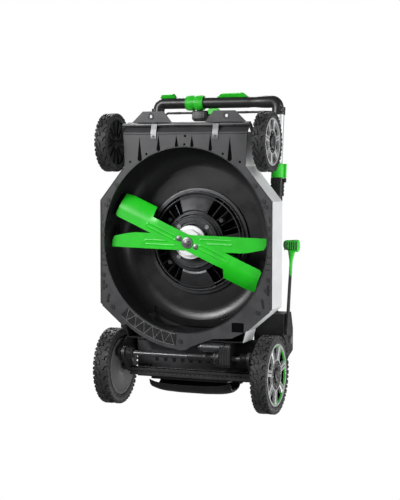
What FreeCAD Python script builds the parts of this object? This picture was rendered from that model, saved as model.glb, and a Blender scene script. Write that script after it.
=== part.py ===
"""Battery walk-behind lawn mower, with its handle folded forward over the deck for storage.

Millimetres. Z is up and the wheels stand on Z = 0. The front of the mower faces -Y and the
operator's left is +X. The origin is on the ground under the middle of the folded mower.
"""
import FreeCAD, Part
import math
import os

V = FreeCAD.Vector

# ---------------------------------------------------------------- driving dimensions
HUB_Y = -23.0            # blade axis, fore and aft
FLANGE_Z = 61.0          # underside of the deck flange
FLANGE_T = 4.0
FLANGE_HALF = 291.0      # half width of the flange
WALL = 3.0               # moulded wall
FACE_GAP = 0.3           # daylight between faces of different bodies
RUN_GAP = 0.05           # radial running clearance

CHAMBER_Y = -31.8        # centre of the elliptical blade chamber
CHAMBER_X_R = 275.6
CHAMBER_Y_R = 292.0
CHAMBER_TOP = 196.0      # inside of the chamber roof
CHAMBER_ROUND = 58.0     # rounding between chamber wall and roof
ROOF_T = 4.0
RING_R = 172.0           # round opening in the chamber roof

BLADE_HALF = 262.5
BLADE_T = 3.5
BOLT_Z = 78.0            # lowest point of the blade bolt
LOWER_BLADE_ANGLE = 24.0
UPPER_BLADE_ANGLE = 1.6
MOTOR_RING_Z = 139.0
MOTOR_R = 84.0
MOTOR_TOP = 250.0

FRONT_WHEEL = {"x": 263.0, "y": -341.3, "r": 94.0, "w": 41.0}
REAR_WHEEL = {"x": 265.4, "y": 388.8, "r": 124.0, "w": 51.5}
FRONT_PIVOT = (-396.0, 74.0)     # y and z of the front axle rod
REAR_PIVOT = (338.0, 81.0)       # y and z of the drive shaft
ROD_R = 5.75
STUB_R = 8.0
SHAFT_R = 8.0
SLEEVE_R = 16.0

COVER_TOP = 205.0
COVER_SIDE_TOP = 165.0
SHOULDER = 40.0          # inward run of the cover's sloping shoulder
COWL_TOP = 325.0
COWL_INSIDE = 4.0
LOUVRE_DEPTH = 2.2       # the louvres are blind grooves

HANDLE_X = 221.0         # centre of each handle tube
PIVOT_Y = 297.0
PIVOT_Z = 280.0
BAR_Y = -479.0
BAR_Z = 368.0
LOWER_R = 18.0           # outer tube
UPPER_R = 14.0           # telescoping tube
TUBE_WALL = 2.0
BAR_R = 19.0
CLAMP_AT = 505.0         # clamp's middle, along the tube from the fold pivot
LID_GAP = 0.4

LIP_Y = -372.0           # where the flange bends up at the front
LIP_TOP = (-405.0, 96.0)     # y and z of the lip's upper edge
LIP_STEP = 3.0           # the lip's thickness, along y and along z
TAB_TIP_Y = -440.0
TAB_TOP = LIP_TOP[1] + FLANGE_T
TAB_HOLE_X = 128.0
TAB_HOLE_Y = -424.0
TAB_HOLE_R = 5.0
REAR_Y = 285.0           # rear wall of the cover
SIDE_OUTLINE = [(209.0, LIP_Y), (203.6, -265.0), (FLANGE_HALF, -156.0), (FLANGE_HALF, 176.5), (205.0, 250.0)]

TUNNEL_HALF = 130.0
TUNNEL_X = -20.0         # middle of the discharge tunnel
TUNNEL_END = 430.0
TUNNEL_FLOOR = 164.0
TUNNEL_ROOF = 246.0
SHELF_HALF = 204.0       # the shelves beside the tunnel
SHELF_Y = (288.5, 425.0)
SCREW_R = 4.0
SCREW_SPOTS = [(3, -360), (0.6, -333.4), (-129, -304), (-185, -279), (-234, -205), (-263, -157),
               (-270, -141), (-279, -75), (-280, -45), (129, -304), (185, -279), (234, -205), (263, -157),
               (270, -141), (279, -75), (280, -45), (-280, 85), (280, 85), (-274, 120), (274, 120),
               (-246, 188), (246, 188), (-12, 289)]

PARTS = {}


# ---------------------------------------------------------------- shape helpers
def box(x0, x1, y0, y1, z0, z1):
    return Part.makeBox(x1 - x0, y1 - y0, z1 - z0, V(x0, y0, z0))


def cyl_x(x0, x1, y, z, r):
    return Part.makeCylinder(r, x1 - x0, V(x0, y, z), V(1, 0, 0))


def cyl_y(y0, y1, x, z, r):
    return Part.makeCylinder(r, y1 - y0, V(x, y0, z), V(0, 1, 0))


def cyl_z(z0, z1, x, y, r):
    return Part.makeCylinder(r, z1 - z0, V(x, y, z0), V(0, 0, 1))


def rod(p, q, r):
    p, q = V(*p), V(*q)
    return Part.makeCylinder(r, (q - p).Length, p, q - p)


def face(points):
    loop = [V(*p) for p in points]
    return Part.Face(Part.makePolygon(loop + [loop[0]]))


def prism_z(points, z0, z1):
    """Upright prism on an outline of (x, y) points."""
    return face([(x, y, z0) for x, y in points]).extrude(V(0, 0, z1 - z0))


def prism_y(points, y0, y1):
    """Prism along Y on an outline of (x, z) points."""
    return face([(x, y0, z) for x, z in points]).extrude(V(0, y1 - y0, 0))


def prism_x(points, x0, x1):
    """Prism along X on an outline of (y, z) points."""
    return face([(x0, y, z) for y, z in points]).extrude(V(x1 - x0, 0, 0))


def turned_x(points, y, z):
    """Solid of revolution about the X line through (y, z), from (x, radius) points."""
    return face([(x, y, z + r) for x, r in points]).revolve(V(0, y, z), V(1, 0, 0), 360)


def turned_z(points, x, y):
    """Solid of revolution about the Z line through (x, y), from (radius, z) points."""
    return face([(x + r, y, z) for r, z in points]).revolve(V(x, y, 0), V(0, 0, 1), 360)


def fuse(*shapes):
    return shapes[0].multiFuse(list(shapes[1:])).removeSplitter()


def cut(shape, *tools):
    for tool in tools:
        shape = shape.cut(tool)
    return shape


def mirrored(shape):
    return shape.mirror(V(0, 0, 0), V(1, 0, 0))


def both(shape):
    """The piece and its mirror image, as two solids."""
    return Part.makeCompound(shape.Solids + mirrored(shape).Solids)


def turned(shape, angle, x, y):
    """Copy of a piece turned about the Z line through (x, y)."""
    copy = shape.copy()
    copy.rotate(V(x, y, 0), V(0, 0, 1), angle)
    return copy


def ellipse_prism(grow, z0, z1):
    edge = Part.Ellipse(V(0, CHAMBER_Y, z0), CHAMBER_Y_R + grow, CHAMBER_X_R + grow).toShape()
    edge.rotate(V(0, CHAMBER_Y, z0), V(0, 0, 1), 90)
    return Part.Face(Part.Wire([edge])).extrude(V(0, 0, z1 - z0))


def rounded_top(solid, radius, z):
    """Rounds the edges that lie wholly at height z."""
    top = [e for e in solid.Edges if abs(e.BoundBox.ZMin - z) < 0.01 and e.BoundBox.ZLength < 0.01]
    return solid.makeFillet(radius, top)


def tapered(sections):
    """Straight-sided loft through (half width, y0, y1, corner, z) rounded rectangles."""
    return Part.makeLoft([rounded_loop(*s) for s in sections], True, True)


def rounded_loop(half, y0, y1, corner, z):
    sheet = Part.makePlane(2 * half, y1 - y0, V(-half, y0, z))
    solid = sheet.extrude(V(0, 0, 1))
    uprights = [e for e in solid.Edges if e.BoundBox.ZLength > 0.5]
    solid = solid.makeFillet(corner, uprights)
    for f in solid.Faces:
        if abs(f.BoundBox.ZMax - z) < 0.01 and f.BoundBox.ZLength < 0.01:
            return f.OuterWire
    raise ValueError("no base face")


def keep(name, shape):
    PARTS[name] = shape


# ---------------------------------------------------------------- deck
def outline(shrink=0.0):
    """Plan of the deck, drawn in by a distance; symmetrical about X = 0."""
    half = SIDE_OUTLINE + [(196, REAR_Y)]
    loop = half + [(-x, y) for x, y in reversed(half)]
    wire = Part.makePolygon([V(x, y, 0) for x, y in loop + loop[:1]])
    if shrink:
        wire = Part.Face(wire).makeOffset2D(-shrink, 2).OuterWire
    return [(v.X, v.Y) for v in wire.OrderedVertexes]


def chamber(grow):
    """Elliptical chamber solid with a rounded roof, grown by a wall."""
    solid = ellipse_prism(grow, FLANGE_Z - 1, CHAMBER_TOP + grow)
    return rounded_top(solid, CHAMBER_ROUND + grow, CHAMBER_TOP + grow)


def tunnel(grow):
    """Discharge tunnel: it climbs from the chamber wall, then runs level to the rear door."""
    low, high = TUNNEL_X - TUNNEL_HALF - grow, TUNNEL_X + TUNNEL_HALF + grow
    level = 335.0
    floor, roof = TUNNEL_FLOOR - grow, TUNNEL_ROOF + grow
    side = [(150, 112 - grow), (262, 118 - grow), (level, floor), (TUNNEL_END, floor),
            (TUNNEL_END, roof), (level, roof), (255, 190 + grow), (150, 176 + grow)]
    return prism_x(side, low, high)


def lip_outline():
    return [(LIP_Y, FLANGE_Z), LIP_TOP, lip_inner(), (LIP_Y + LIP_STEP, FLANGE_Z + FLANGE_T)]


def lip_inner():
    """y and z of the inner corner at the lip's upper edge."""
    return (LIP_TOP[0] + LIP_STEP, LIP_TOP[1] + LIP_STEP)


def through_flange(points):
    """Cutting prism through the flange on an outline of (x, y) points."""
    return prism_z(points, FLANGE_Z - 1, FLANGE_Z + FLANGE_T + 1)


def teardrop(x, y0, y1, r):
    """Drain slot, round at the rear and pointed at the front."""
    hole = cyl_z(FLANGE_Z - 1, FLANGE_Z + FLANGE_T + 1, x, y1 - r, r)
    point = through_flange([(x - r, y1 - r), (x, y0), (x + r, y1 - r)])
    return fuse(hole, point)


def rear_arc(scale, start, end, count):
    """Points on an ellipse that grows from the chamber opening."""
    step = (end - start) / count
    return [(CHAMBER_X_R * scale * math.cos(math.radians(start + step * i)),
             CHAMBER_Y + CHAMBER_Y_R * scale * math.sin(math.radians(start + step * i)))
            for i in range(count + 1)]


def lattice_pockets():
    """Triangular weight-saving pockets between the chamber and the flange's rear edge."""
    start, end, count = 96.0, 132.0, 11
    inner = rear_arc(1.035, start, end, count)
    outer = rear_arc(1.155, start, end, count)
    pockets = []
    for i in range(count):
        if i % 2:
            corners = [inner[i], inner[i + 1], outer[i]]
        else:
            corners = [outer[i], outer[i + 1], inner[i + 1]]
        cx = sum(p[0] for p in corners) / 3
        cy = sum(p[1] for p in corners) / 3
        smaller = [(cx + (x - cx) * 0.84, cy + (y - cy) * 0.84) for x, y in corners]
        pockets.append(through_flange(smaller))
    return pockets


def deck_liner():
    """Underside moulding: flange, upturned front lip with two tabs, and the blade chamber."""
    tail = [(95, 277), (20, 306), (8, 315), (-14, 318)]
    left_rear = rear_arc(1.19, 95, 128, 6)
    right_side = [(-x, y) for x, y in reversed(SIDE_OUTLINE[:-1])]
    loop = SIDE_OUTLINE + [(160, 272)] + tail + left_rear + [(-213.5, 247)] + right_side
    plate = prism_z(loop, FLANGE_Z, FLANGE_Z + FLANGE_T)
    lip = prism_x(lip_outline(), -SIDE_OUTLINE[0][0], SIDE_OUTLINE[0][0])
    shell = chamber(ROOF_T).common(box(-400, 400, -400, 400, FLANGE_Z, 400))
    body = fuse(plate, lip, shell, tab(1), tab(-1))
    holes = [teardrop(x, y0, y1, r) for x, y0, y1, r in
             [(-152, -359, -281, 7.5), (-87.5, -366, -313, 6.5), (-26, -364, -325, 6), (26, -364, -325, 6),
              (87.5, -366, -313, 6.5), (152, -359, -281, 7.5)]]
    holes += [cyl_z(FLANGE_Z - 1, FLANGE_Z + FLANGE_T + 1, x, y, SCREW_R) for x, y in SCREW_SPOTS]
    holes.append(through_flange([(160, 222), (200, 222), (200, 252), (160, 252)]))
    body = cut(body, chamber(0), cyl_z(150, 250, 0, HUB_Y, RING_R), tunnel(0))
    return cut(body, *(holes + lattice_pockets()))


def tab(side):
    """Level front tab with a bolt hole; it carries on from the lip's upper edge."""
    slope = [LIP_TOP, (TAB_TIP_Y, LIP_TOP[1]), (TAB_TIP_Y, TAB_TOP), (LIP_TOP[0] + 2, TAB_TOP), lip_inner()]
    x0, x1 = sorted((side * 56, side * 195))
    plate = prism_x(slope, x0, x1)
    taper = [(side * 54, LIP_TOP[0] + 4), (side * 86, TAB_TIP_Y - 1), (side * 155, TAB_TIP_Y - 1),
             (side * 197, LIP_TOP[0] + 4)]
    plate = plate.common(prism_z(taper, 80, 130))
    return cut(plate, cyl_z(80, 130, side * TAB_HOLE_X, TAB_HOLE_Y, TAB_HOLE_R))


def cover_solid(shrink, top):
    """Skirt with upright sides and a sloping shoulder."""
    sides = prism_z(outline(shrink), FLANGE_Z + FLANGE_T, COVER_SIDE_TOP)
    low = outline(shrink)
    high = outline(shrink + SHOULDER)
    loops = [Part.makePolygon([V(x, y, z) for x, y in loop + loop[:1]])
             for loop, z in ((low, COVER_SIDE_TOP), (high, top))]
    return fuse(sides, Part.makeLoft(loops, True, True))


def front_wedge():
    """Space under the upturned lip and its tabs, kept clear of the cover."""
    y, z = lip_inner()
    return prism_x([(-500, 50), (LIP_Y + LIP_STEP, 50), (LIP_Y + LIP_STEP, FLANGE_Z + FLANGE_T), (y, z),
                    (y, TAB_TOP), (-500, TAB_TOP)], -300, 300)


def deck_cover():
    """Pale outer skirt of the deck."""
    outer = cover_solid(0, COVER_TOP)
    inner = cover_solid(WALL, COVER_TOP - WALL)
    opening = Part.Face(rounded_loop(176, -302, 214, 42, COVER_TOP - 20)).extrude(V(0, 0, 40))
    return cut(outer, inner, opening, front_wedge(), tunnel(WALL), chamber(ROOF_T))


def discharge_tunnel():
    """Four-sided duct from the chamber to the rear door, with a ribbed shelf on either side."""
    mouth = box(TUNNEL_X - TUNNEL_HALF, TUNNEL_X + TUNNEL_HALF, TUNNEL_END - 1, TUNNEL_END + 9,
                TUNNEL_FLOOR, TUNNEL_ROOF)
    shelf = box(-SHELF_HALF, SHELF_HALF, *SHELF_Y, TUNNEL_FLOOR, TUNNEL_FLOOR + ROOF_T)
    low, high = TUNNEL_X - TUNNEL_HALF - WALL, TUNNEL_X + TUNNEL_HALF + WALL
    ribs = [box(-SHELF_HALF, SHELF_HALF, y, y + WALL, TUNNEL_FLOOR, TUNNEL_FLOOR + 16)
            for y in (SHELF_Y[0], 330, 375, SHELF_Y[1] - WALL)]
    ribs = [rib.cut(box(low, high, 200, 500, 100, 300)) for rib in ribs]
    body = fuse(tunnel(WALL), shelf, *ribs)
    return cut(body, tunnel(0).fuse(mouth), chamber(ROOF_T), box(-200, 200, 100, 200, 90, 190))


WINDOWS_AT = (38, 142, 218, 322)     # angles of the motor plate's windows
CONE_R = 160.0           # where the motor plate's cone meets the roof


def motor_plate():
    """Conical bracket from the chamber roof down to the motor ring, with four windows."""
    low = MOTOR_RING_Z + 8
    cone = turned_z([(MOTOR_R + 1, low), (MOTOR_R - 8, low), (MOTOR_R - 8, low + 4), (CONE_R, CHAMBER_TOP - 6),
                     (CONE_R, CHAMBER_TOP), (RING_R, CHAMBER_TOP), (RING_R, CHAMBER_TOP - 10),
                     (RING_R - 6, CHAMBER_TOP - 10)], 0, HUB_Y)
    fins = [fin(middle + step) for middle in WINDOWS_AT for step in (-14, 0, 14)]
    return fuse(cut(cone, *[window(middle) for middle in WINDOWS_AT]), *fins)


def window(middle):
    """Cut-out that follows the cone between radii 97 and 156."""
    spread = 27
    loop = []
    for r, order in ((97, (-1, 0, 1)), (156, (1, 0, -1))):
        for k in order:
            a = math.radians(middle + k * spread)
            loop.append((r * math.cos(a), HUB_Y + r * math.sin(a)))
    return prism_z(loop, 100, 240)


def fin(angle):
    """Upright cooling vane across a window."""
    vane = box(92, CONE_R + 2, HUB_Y - 1.5, HUB_Y + 1.5, 160, CHAMBER_TOP - 1)
    below = turned_z([(0, 120), (MOTOR_R - 8, MOTOR_RING_Z + 12), (CONE_R, CHAMBER_TOP - 6),
                      (200, CHAMBER_TOP - 6), (200, 120)], 0, HUB_Y)
    return turned(vane.cut(below), angle, 0, HUB_Y)


def motor_can():
    """Stator housing hung from the plate, with its screw ring; the rotor turns inside."""
    ring = cyl_z(MOTOR_RING_Z, MOTOR_RING_Z + 8, 0, HUB_Y, MOTOR_R)
    can = cyl_z(MOTOR_RING_Z + 8, MOTOR_TOP, 0, HUB_Y, MOTOR_R - 8)
    hollow = cyl_z(MOTOR_RING_Z - 1, MOTOR_TOP - 5, 0, HUB_Y, 56)
    bearing = cyl_z(MOTOR_TOP - 6, MOTOR_TOP + 1, 0, HUB_Y, 8 + RUN_GAP)
    spots = [cyl_z(MOTOR_RING_Z - 1, MOTOR_RING_Z + 9, x, y, SCREW_R) for x, y in motor_screw_spots()]
    return cut(fuse(ring, can), hollow, bearing, *spots)


def motor_screw_spots():
    r = MOTOR_R - 16
    angles = [math.radians(a) for a in (45, 135, 225, 315)]
    return [(r * math.cos(a), HUB_Y + r * math.sin(a)) for a in angles]


def screw(x, y, z, length):
    """Pan-head screw driven upwards, its head below the sheet at height z."""
    head = cyl_z(z - 2.6, z, x, y, 7)
    shank = cyl_z(z, z + length, x, y, SCREW_R)
    return fuse(head, shank)


def motor_screws():
    return Part.makeCompound([screw(x, y, MOTOR_RING_Z, 8) for x, y in motor_screw_spots()])


def flange_screws():
    spots = [s for s in SCREW_SPOTS if abs(s[0]) > 200 or s[1] > 0]
    return Part.makeCompound([screw(x, y, FLANGE_Z, FLANGE_T) for x, y in spots])


def axle_clip(x):
    """Bent strap that holds the front axle rod against the lip."""
    y, z = FRONT_PIVOT
    ring = cyl_x(x - 10, x + 10, y, z, ROD_R + 2.4)
    strap = prism_x([(y, z - 8.1), (y + 12, 62.5), (LIP_Y, 58.5), (LIP_Y + 22, 58.5), (LIP_Y + 22, FLANGE_Z),
                     (LIP_Y - 1, FLANGE_Z), (y + 10, 67.0), (y, z - 5)], x - 10, x + 10)
    return cut(fuse(ring, strap), cyl_x(x - 11, x + 11, y, z, ROD_R + RUN_GAP),
               cyl_z(50, 70, x, LIP_Y + 12, 2.5))


def front_axle_clips():
    return Part.makeCompound([axle_clip(-104), axle_clip(104)])


# ---------------------------------------------------------------- cowl and battery
COWL_BASE = (184.0, -310.0, 222.0, 50.0, COVER_TOP)      # half width, y0, y1, corner, z
COWL_MID = (174.0, -290.0, 219.0, 45.0, 250.0)
COWL_HIGH = (145.0, -215.0, 214.0, 40.0, COWL_TOP)
BAY_X = 84.0
BAY_Y = (62.0, 206.0)
BAY_FLOOR = 216.0
LID_T = 9.0
LID_PIN_R = 4.0
LID_AXIS = (BAY_Y[0] - 8, COWL_TOP + 7)      # y and z of the lid's pin
RAILS_X = (-40, 35)      # guide rails of the battery bay


def shrunk(section, by, z):
    half, y0, y1, corner, _ = section
    return (half - by, y0 + by, y1 - by, corner - by, z)


def top_cowl():
    """Dark hood over the motor and the battery bay."""
    outer = tapered([COWL_BASE, COWL_MID, COWL_HIGH])
    inner = tapered([shrunk(COWL_BASE, COWL_INSIDE, COVER_TOP), shrunk(COWL_MID, COWL_INSIDE, 249.0),
                     shrunk(COWL_HIGH, COWL_INSIDE, COWL_TOP - COWL_INSIDE)])
    mouth = box(-BAY_X + 4, BAY_X - 4, BAY_Y[0] + 4, BAY_Y[1] - 4, COWL_TOP - 20, COWL_TOP + 20)
    vents = [box(x, x + 6, -140, -60, COWL_TOP - LOUVRE_DEPTH, COWL_TOP + 1) for x in range(-75, 76, 16)]
    y, z = LID_AXIS
    knuckles = [cyl_x(x, x + 20, y, z, LID_PIN_R + 3.5) for x in (-60, 40)]
    feet = [box(x, x + 20, y - 3.5, y + 3.5, COWL_TOP - 1, z) for x in (-60, 40)]
    pin_hole = cyl_x(-100, 100, y, z, LID_PIN_R + RUN_GAP)
    body = fuse(cut(outer, inner, mouth, *vents), *(knuckles + feet))
    return cut(body, pin_hole)


def battery_tray():
    """Open-topped bay that hangs in the hood's mouth."""
    shell = box(-BAY_X, BAY_X, BAY_Y[0], BAY_Y[1], BAY_FLOOR, COWL_TOP - COWL_INSIDE)
    y0, y1, floor = BAY_Y[0] + WALL, BAY_Y[1] - WALL, BAY_FLOOR + WALL
    hollow = box(-BAY_X + WALL, BAY_X - WALL, y0, y1, floor, COWL_TOP)
    rails = [box(x, x + 5, y0, y0 + 6, floor, COWL_TOP - 40) for x in RAILS_X]
    return fuse(cut(shell, hollow), *rails)


def battery_pack():
    """Removable pack with two guide grooves and a finger ledge."""
    y0, y1 = BAY_Y[0] + WALL + 1, BAY_Y[1] - WALL - 1
    body = box(-BAY_X + WALL + 1, BAY_X - WALL - 1, y0, y1, BAY_FLOOR + WALL, COWL_TOP - 14)
    uprights = [e for e in body.Edges if e.BoundBox.ZLength > 50]
    body = body.makeFillet(6, uprights)
    grooves = [box(x - 1, x + 6, y0 - 1, y0 + 6, BAY_FLOOR, COWL_TOP) for x in RAILS_X]
    grip = box(-35, 35, y1 - 16, y1 + 1, COWL_TOP - 34, COWL_TOP - 20)
    return cut(body, grip, *grooves)


def battery_lid():
    """Hinged cover of the battery bay; its pin runs in the hood's two knuckles."""
    y, z = LID_AXIS
    low = COWL_TOP + LID_GAP
    plate = box(-BAY_X, BAY_X, BAY_Y[0] + 1.5, BAY_Y[1] + 4, low, low + LID_T)
    uprights = [e for e in plate.Edges if e.BoundBox.ZLength > LID_T - 1]
    plate = plate.makeFillet(12, uprights)
    pin = cyl_x(-66, 66, y, z, LID_PIN_R)
    arms = [fuse(cyl_x(x, x + 12, y, z, LID_PIN_R + 2), box(x, x + 12, y, y + 24, z - 3, z + 2))
            for x in (-34, -6, 22)]
    return fuse(plate, pin, *arms)


# ---------------------------------------------------------------- blade rotor
WASHER_Z = BOLT_Z + 7.0
BLADES_Z = WASHER_Z + 4.0
PIN_SPREAD = 31.0
DISC_R = 54.0


def blade_blank(points, z):
    plate = prism_z(points, z, z + BLADE_T)
    bores = ((0, 6.0), (-PIN_SPREAD, 4.0), (PIN_SPREAD, 4.0))
    holes = [cyl_z(z - 1, z + BLADE_T + 1, x, 0, r) for x, r in bores]
    return cut(plate, *holes)


def half_turned(points):
    """Outline of a blade from the points of one half; the other half is turned by 180 degrees."""
    return points + [(-x, -y) for x, y in points]


def lower_blade():
    """Blade with two raised wings; the cutting edge is straight."""
    z = BLADES_Z
    half = [(-BLADE_HALF, 25), (-BLADE_HALF + 4, -6), (-150, -6), (-140, -24), (40, -24)]
    body = blade_blank(half_turned(half), z)
    wing = [(-4, z), (-22, z + 3), (-40, z + 12), (-54, z + 26), (-51, z + 28), (-38, z + 15.5), (-21, z + 6.3),
            (-4, z + BLADE_T)]
    wings = prism_x(wing, -BLADE_HALF + 4, -152)
    slant = prism_z([(-BLADE_HALF - 5, 30), (-BLADE_HALF + 14, -60), (-148, -60), (-156, 30)], z - 5, z + 40)
    wings = wings.common(slant)
    other = turned(wings, 180, 0, 0)
    return placed_blade(fuse(body, wings, other), LOWER_BLADE_ANGLE)


def upper_blade():
    """Flat blade whose trailing edges taper to rounded tips."""
    half = [(-BLADE_HALF, 24), (-BLADE_HALF, 0), (-BLADE_HALF + 8, -6), (-180, -26), (20, -26)]
    z = BLADES_Z + BLADE_T
    plate = prism_z(half_turned(half), z, z + BLADE_T).cut(cyl_z(z - 1, z + BLADE_T + 1, 0, 0, 6))
    return pin_slots(placed_blade(plate, UPPER_BLADE_ANGLE))


def placed_blade(shape, angle):
    shape.translate(V(0, HUB_Y, 0))
    return turned(shape, angle, 0, HUB_Y)


def blade_washer():
    """Thick washer under the lower blade."""
    return cyl_z(WASHER_Z, BLADES_Z, 0, HUB_Y, 18.5).cut(cyl_z(WASHER_Z, BLADES_Z, 0, HUB_Y, 6))


def blade_bolt():
    """Hexagon bolt up through the washer and both blades."""
    r = 10.0
    corners = [math.radians(60 * k) for k in range(6)]
    hexagon = [(r * math.cos(a), HUB_Y + r * math.sin(a)) for a in corners]
    return fuse(prism_z(hexagon, BOLT_Z, WASHER_Z), cyl_z(WASHER_Z, BLADES_Z + 24, 0, HUB_Y, 6))


def drive_pins():
    """Two shouldered pins that key the blades to the carrier."""
    pins = []
    for side in (-1, 1):
        head = cyl_z(BLADES_Z - 5, BLADES_Z, side * PIN_SPREAD, 0, 10.0)
        shank = cyl_z(BLADES_Z, BLADES_Z + 2 * BLADE_T + 6, side * PIN_SPREAD, 0, 4.0)
        pins.append(placed_blade(fuse(head, shank), LOWER_BLADE_ANGLE))
    return Part.makeCompound(pins)


def pin_slots(shape):
    """Clears the drive pins out of a piece above the lower blade."""
    a = math.radians(LOWER_BLADE_ANGLE)
    z = BLADES_Z + BLADE_T
    return cut(shape, *[cyl_z(z - 1, z + BLADE_T + 6.5, s * PIN_SPREAD * math.cos(a),
                              HUB_Y + s * PIN_SPREAD * math.sin(a), 4.0) for s in (-1, 1)])


def blade_carrier():
    """Pale disc and boss that carry the blades on the motor shaft."""
    z = BLADES_Z + 2 * BLADE_T
    boss = cyl_z(z, z + 16, 0, HUB_Y, 42)
    disc = cyl_z(z + 16, z + 24, 0, HUB_Y, DISC_R)
    return pin_slots(cut(fuse(boss, disc), cyl_z(z - 1, z + 25, 0, HUB_Y, 6)))


def motor_rotor():
    """Rotor core and shaft; the shaft's lower end stands on the blade carrier."""
    z = BLADES_Z + 2 * BLADE_T + 24
    shaft = cyl_z(z, MOTOR_TOP + 6, 0, HUB_Y, 8)
    core = cyl_z(MOTOR_RING_Z + 12, MOTOR_TOP - 12, 0, HUB_Y, 54)
    return cut(fuse(shaft, core), cyl_z(z - 1, z, 0, HUB_Y, 6))


# ---------------------------------------------------------------- wheels and axles
HUB_R = 21.0
RING_GEAR_R = 81.3       # inside of the ring that the drive pinion turns in


def wheel_tyre(w):
    """Tyre with rounded shoulders and tread grooves across its face."""
    half, r, x = w["w"] / 2, w["r"], w["x"]
    depth = 0.2 * r
    side = [(6, r), (half - 7, r - 1.5), (half - 1.5, r - 7), (half, r - 0.6 * depth), (half - 2, r - depth)]
    points = [(-across, radius) for across, radius in reversed(side)] + side
    tyre = turned_x([(x + across, radius) for across, radius in points], w["y"], r)
    groove = box(x - half - 1, x + half + 1, w["y"] - 1.5, w["y"] + 1.5, 2 * r - 3, 2 * r + 1)
    count = 24
    grooves = []
    for k in range(count):
        copy = groove.copy()
        copy.rotate(V(x, w["y"], r), V(1, 0, 0), 360 / count * (k + 0.5))
        grooves.append(copy)
    return tyre.cut(Part.makeCompound(grooves))


def wheel_rim(w, geared=False):
    """Rim with five spokes near its outer face and a long hub."""
    half, r, x = w["w"] / 2, w["r"], w["x"]
    seat = 0.8 * r
    x0, x1 = x - half + 2, x + half - 2
    barrel = turned_x([(x0, seat), (x0, seat - 5), (x1, seat - 5), (x1, seat)], w["y"], r)
    bore = STUB_R + RUN_GAP
    hub = turned_x([(x0 + 2.6, HUB_R), (x0 + 2.6, bore), (x1 - 1, bore), (x1 - 1, HUB_R)], w["y"], r)
    spokes = []
    for k in range(5):
        spoke = prism_x([(w["y"] - 13, r + 18), (w["y"] + 13, r + 18), (w["y"] + 9, r + seat - 4),
                         (w["y"] - 9, r + seat - 4)], x + half * 0.55, x + half * 0.85)
        spoke.rotate(V(x, w["y"], r), V(1, 0, 0), 72 * k + 12)
        spokes.append(spoke)
    if geared:
        gear = [(x - 18, seat - 4), (x - 18, RING_GEAR_R), (x - 10, RING_GEAR_R), (x - 10, seat - 4)]
        spokes.append(turned_x(gear, w["y"], r))
    return fuse(barrel, hub, *spokes)


def hub_cap(w):
    """Plain domed cap on the outer end of the hub."""
    x = w["x"] + w["w"] / 2 - 3
    return turned_x([(x, 0), (x, HUB_R), (x + 3, HUB_R), (x + 5.5, 15), (x + 5.5, 0)], w["y"], w["r"])


def stub_end(w):
    """Outer end of a wheel's stub, just short of the hub cap."""
    return w["x"] + w["w"] / 2 - 3.2


def front_axle():
    """Cranked rod: the middle turns in the clips and its ends carry the wheels."""
    y, z = FRONT_PIVOT
    wy, wz = FRONT_WHEEL["y"], FRONT_WHEEL["r"]
    bend, foot = 214.0, 226.0
    end = stub_end(FRONT_WHEEL)
    pieces = [cyl_x(-bend, bend, y, z, ROD_R)]
    for side in (-1, 1):
        x0, x1 = sorted((side * foot, side * end))
        pieces += [rod((side * bend, y, z), (side * foot, wy, wz), ROD_R), cyl_x(x0, x1, wy, wz, STUB_R),
                   Part.makeSphere(ROD_R, V(side * bend, y, z)),
                   Part.makeSphere(STUB_R, V(side * foot, wy, wz))]
    return fuse(*pieces)


ARM_X = (208.0, 219.0)
SLEEVE_END = 238.0
COVER_X = 240.6          # inner face of the dust cover


def rear_arm(side):
    """Swing arm with its pivot sleeve around the drive shaft and a stub for the wheel."""
    y, z = REAR_PIVOT
    wy, wz = REAR_WHEEL["y"], REAR_WHEEL["r"]
    x0, x1 = sorted((side * ARM_X[0], side * ARM_X[1]))
    dy, dz = wy - y, wz - z
    span = math.hypot(dy, dz)
    ny, nz = -dz / span, dy / span
    web = prism_x([(y + ny * 22, z + nz * 22), (wy + ny * 17, wz + nz * 17), (wy - ny * 17, wz - nz * 17),
                   (y - ny * 22, z - nz * 22)], x0, x1)
    s0, s1 = sorted((side * ARM_X[0], side * SLEEVE_END))
    t0, t1 = sorted((side * ARM_X[0], side * stub_end(REAR_WHEEL)))
    return fuse(web, cyl_x(x0, x1, y, z, 22), cyl_x(x0, x1, wy, wz, 17), cyl_x(s0, s1, y, z, SLEEVE_R),
                cyl_x(t0, t1, wy, wz, STUB_R))


def rear_axle():
    """Both swing arms and the ribbed beam between them, behind the drive shaft."""
    y0, y1, z0, z1 = 389.0, 413.0, 107.0, 131.0
    beam = box(-ARM_X[0], ARM_X[0], y0, y1, z0, z1)
    grooves = [box(-200, 200, y0 + 9, y0 + 15, z0 - 1, z0 + 6), box(-200, 200, y1 - 6, y1 + 1, z0 + 9, z0 + 15)]
    body = fuse(cut(beam, *grooves), rear_arm(-1), rear_arm(1))
    return cut(body, cyl_x(-300, 300, REAR_PIVOT[0], REAR_PIVOT[1], SHAFT_R + RUN_GAP))


def dust_covers():
    """Flat discs that close the inner faces of the rear wheels."""
    y, z = REAR_PIVOT
    wy, wz = REAR_WHEEL["y"], REAR_WHEEL["r"]
    disc = cyl_x(COVER_X, COVER_X + 3, wy, wz, 0.8 * wz - 6)
    disc = cut(disc, cyl_x(COVER_X - 1, COVER_X + 5, wy, wz, STUB_R),
               cyl_x(COVER_X - 1, COVER_X + 5, y, z, SHAFT_R + 2))
    return both(disc)


def drive_shaft():
    """Shaft from the gearbox to both rear wheels, with a pinion inside each wheel."""
    y, z = REAR_PIVOT
    end = COVER_X + 14
    pieces = [cyl_x(-end, end, y, z, SHAFT_R)]
    for side in (-1, 1):
        x0, x1 = sorted((side * (COVER_X + 6), side * end))
        pieces.append(cyl_x(x0, x1, y, z, 14))
    return fuse(*pieces)


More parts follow.
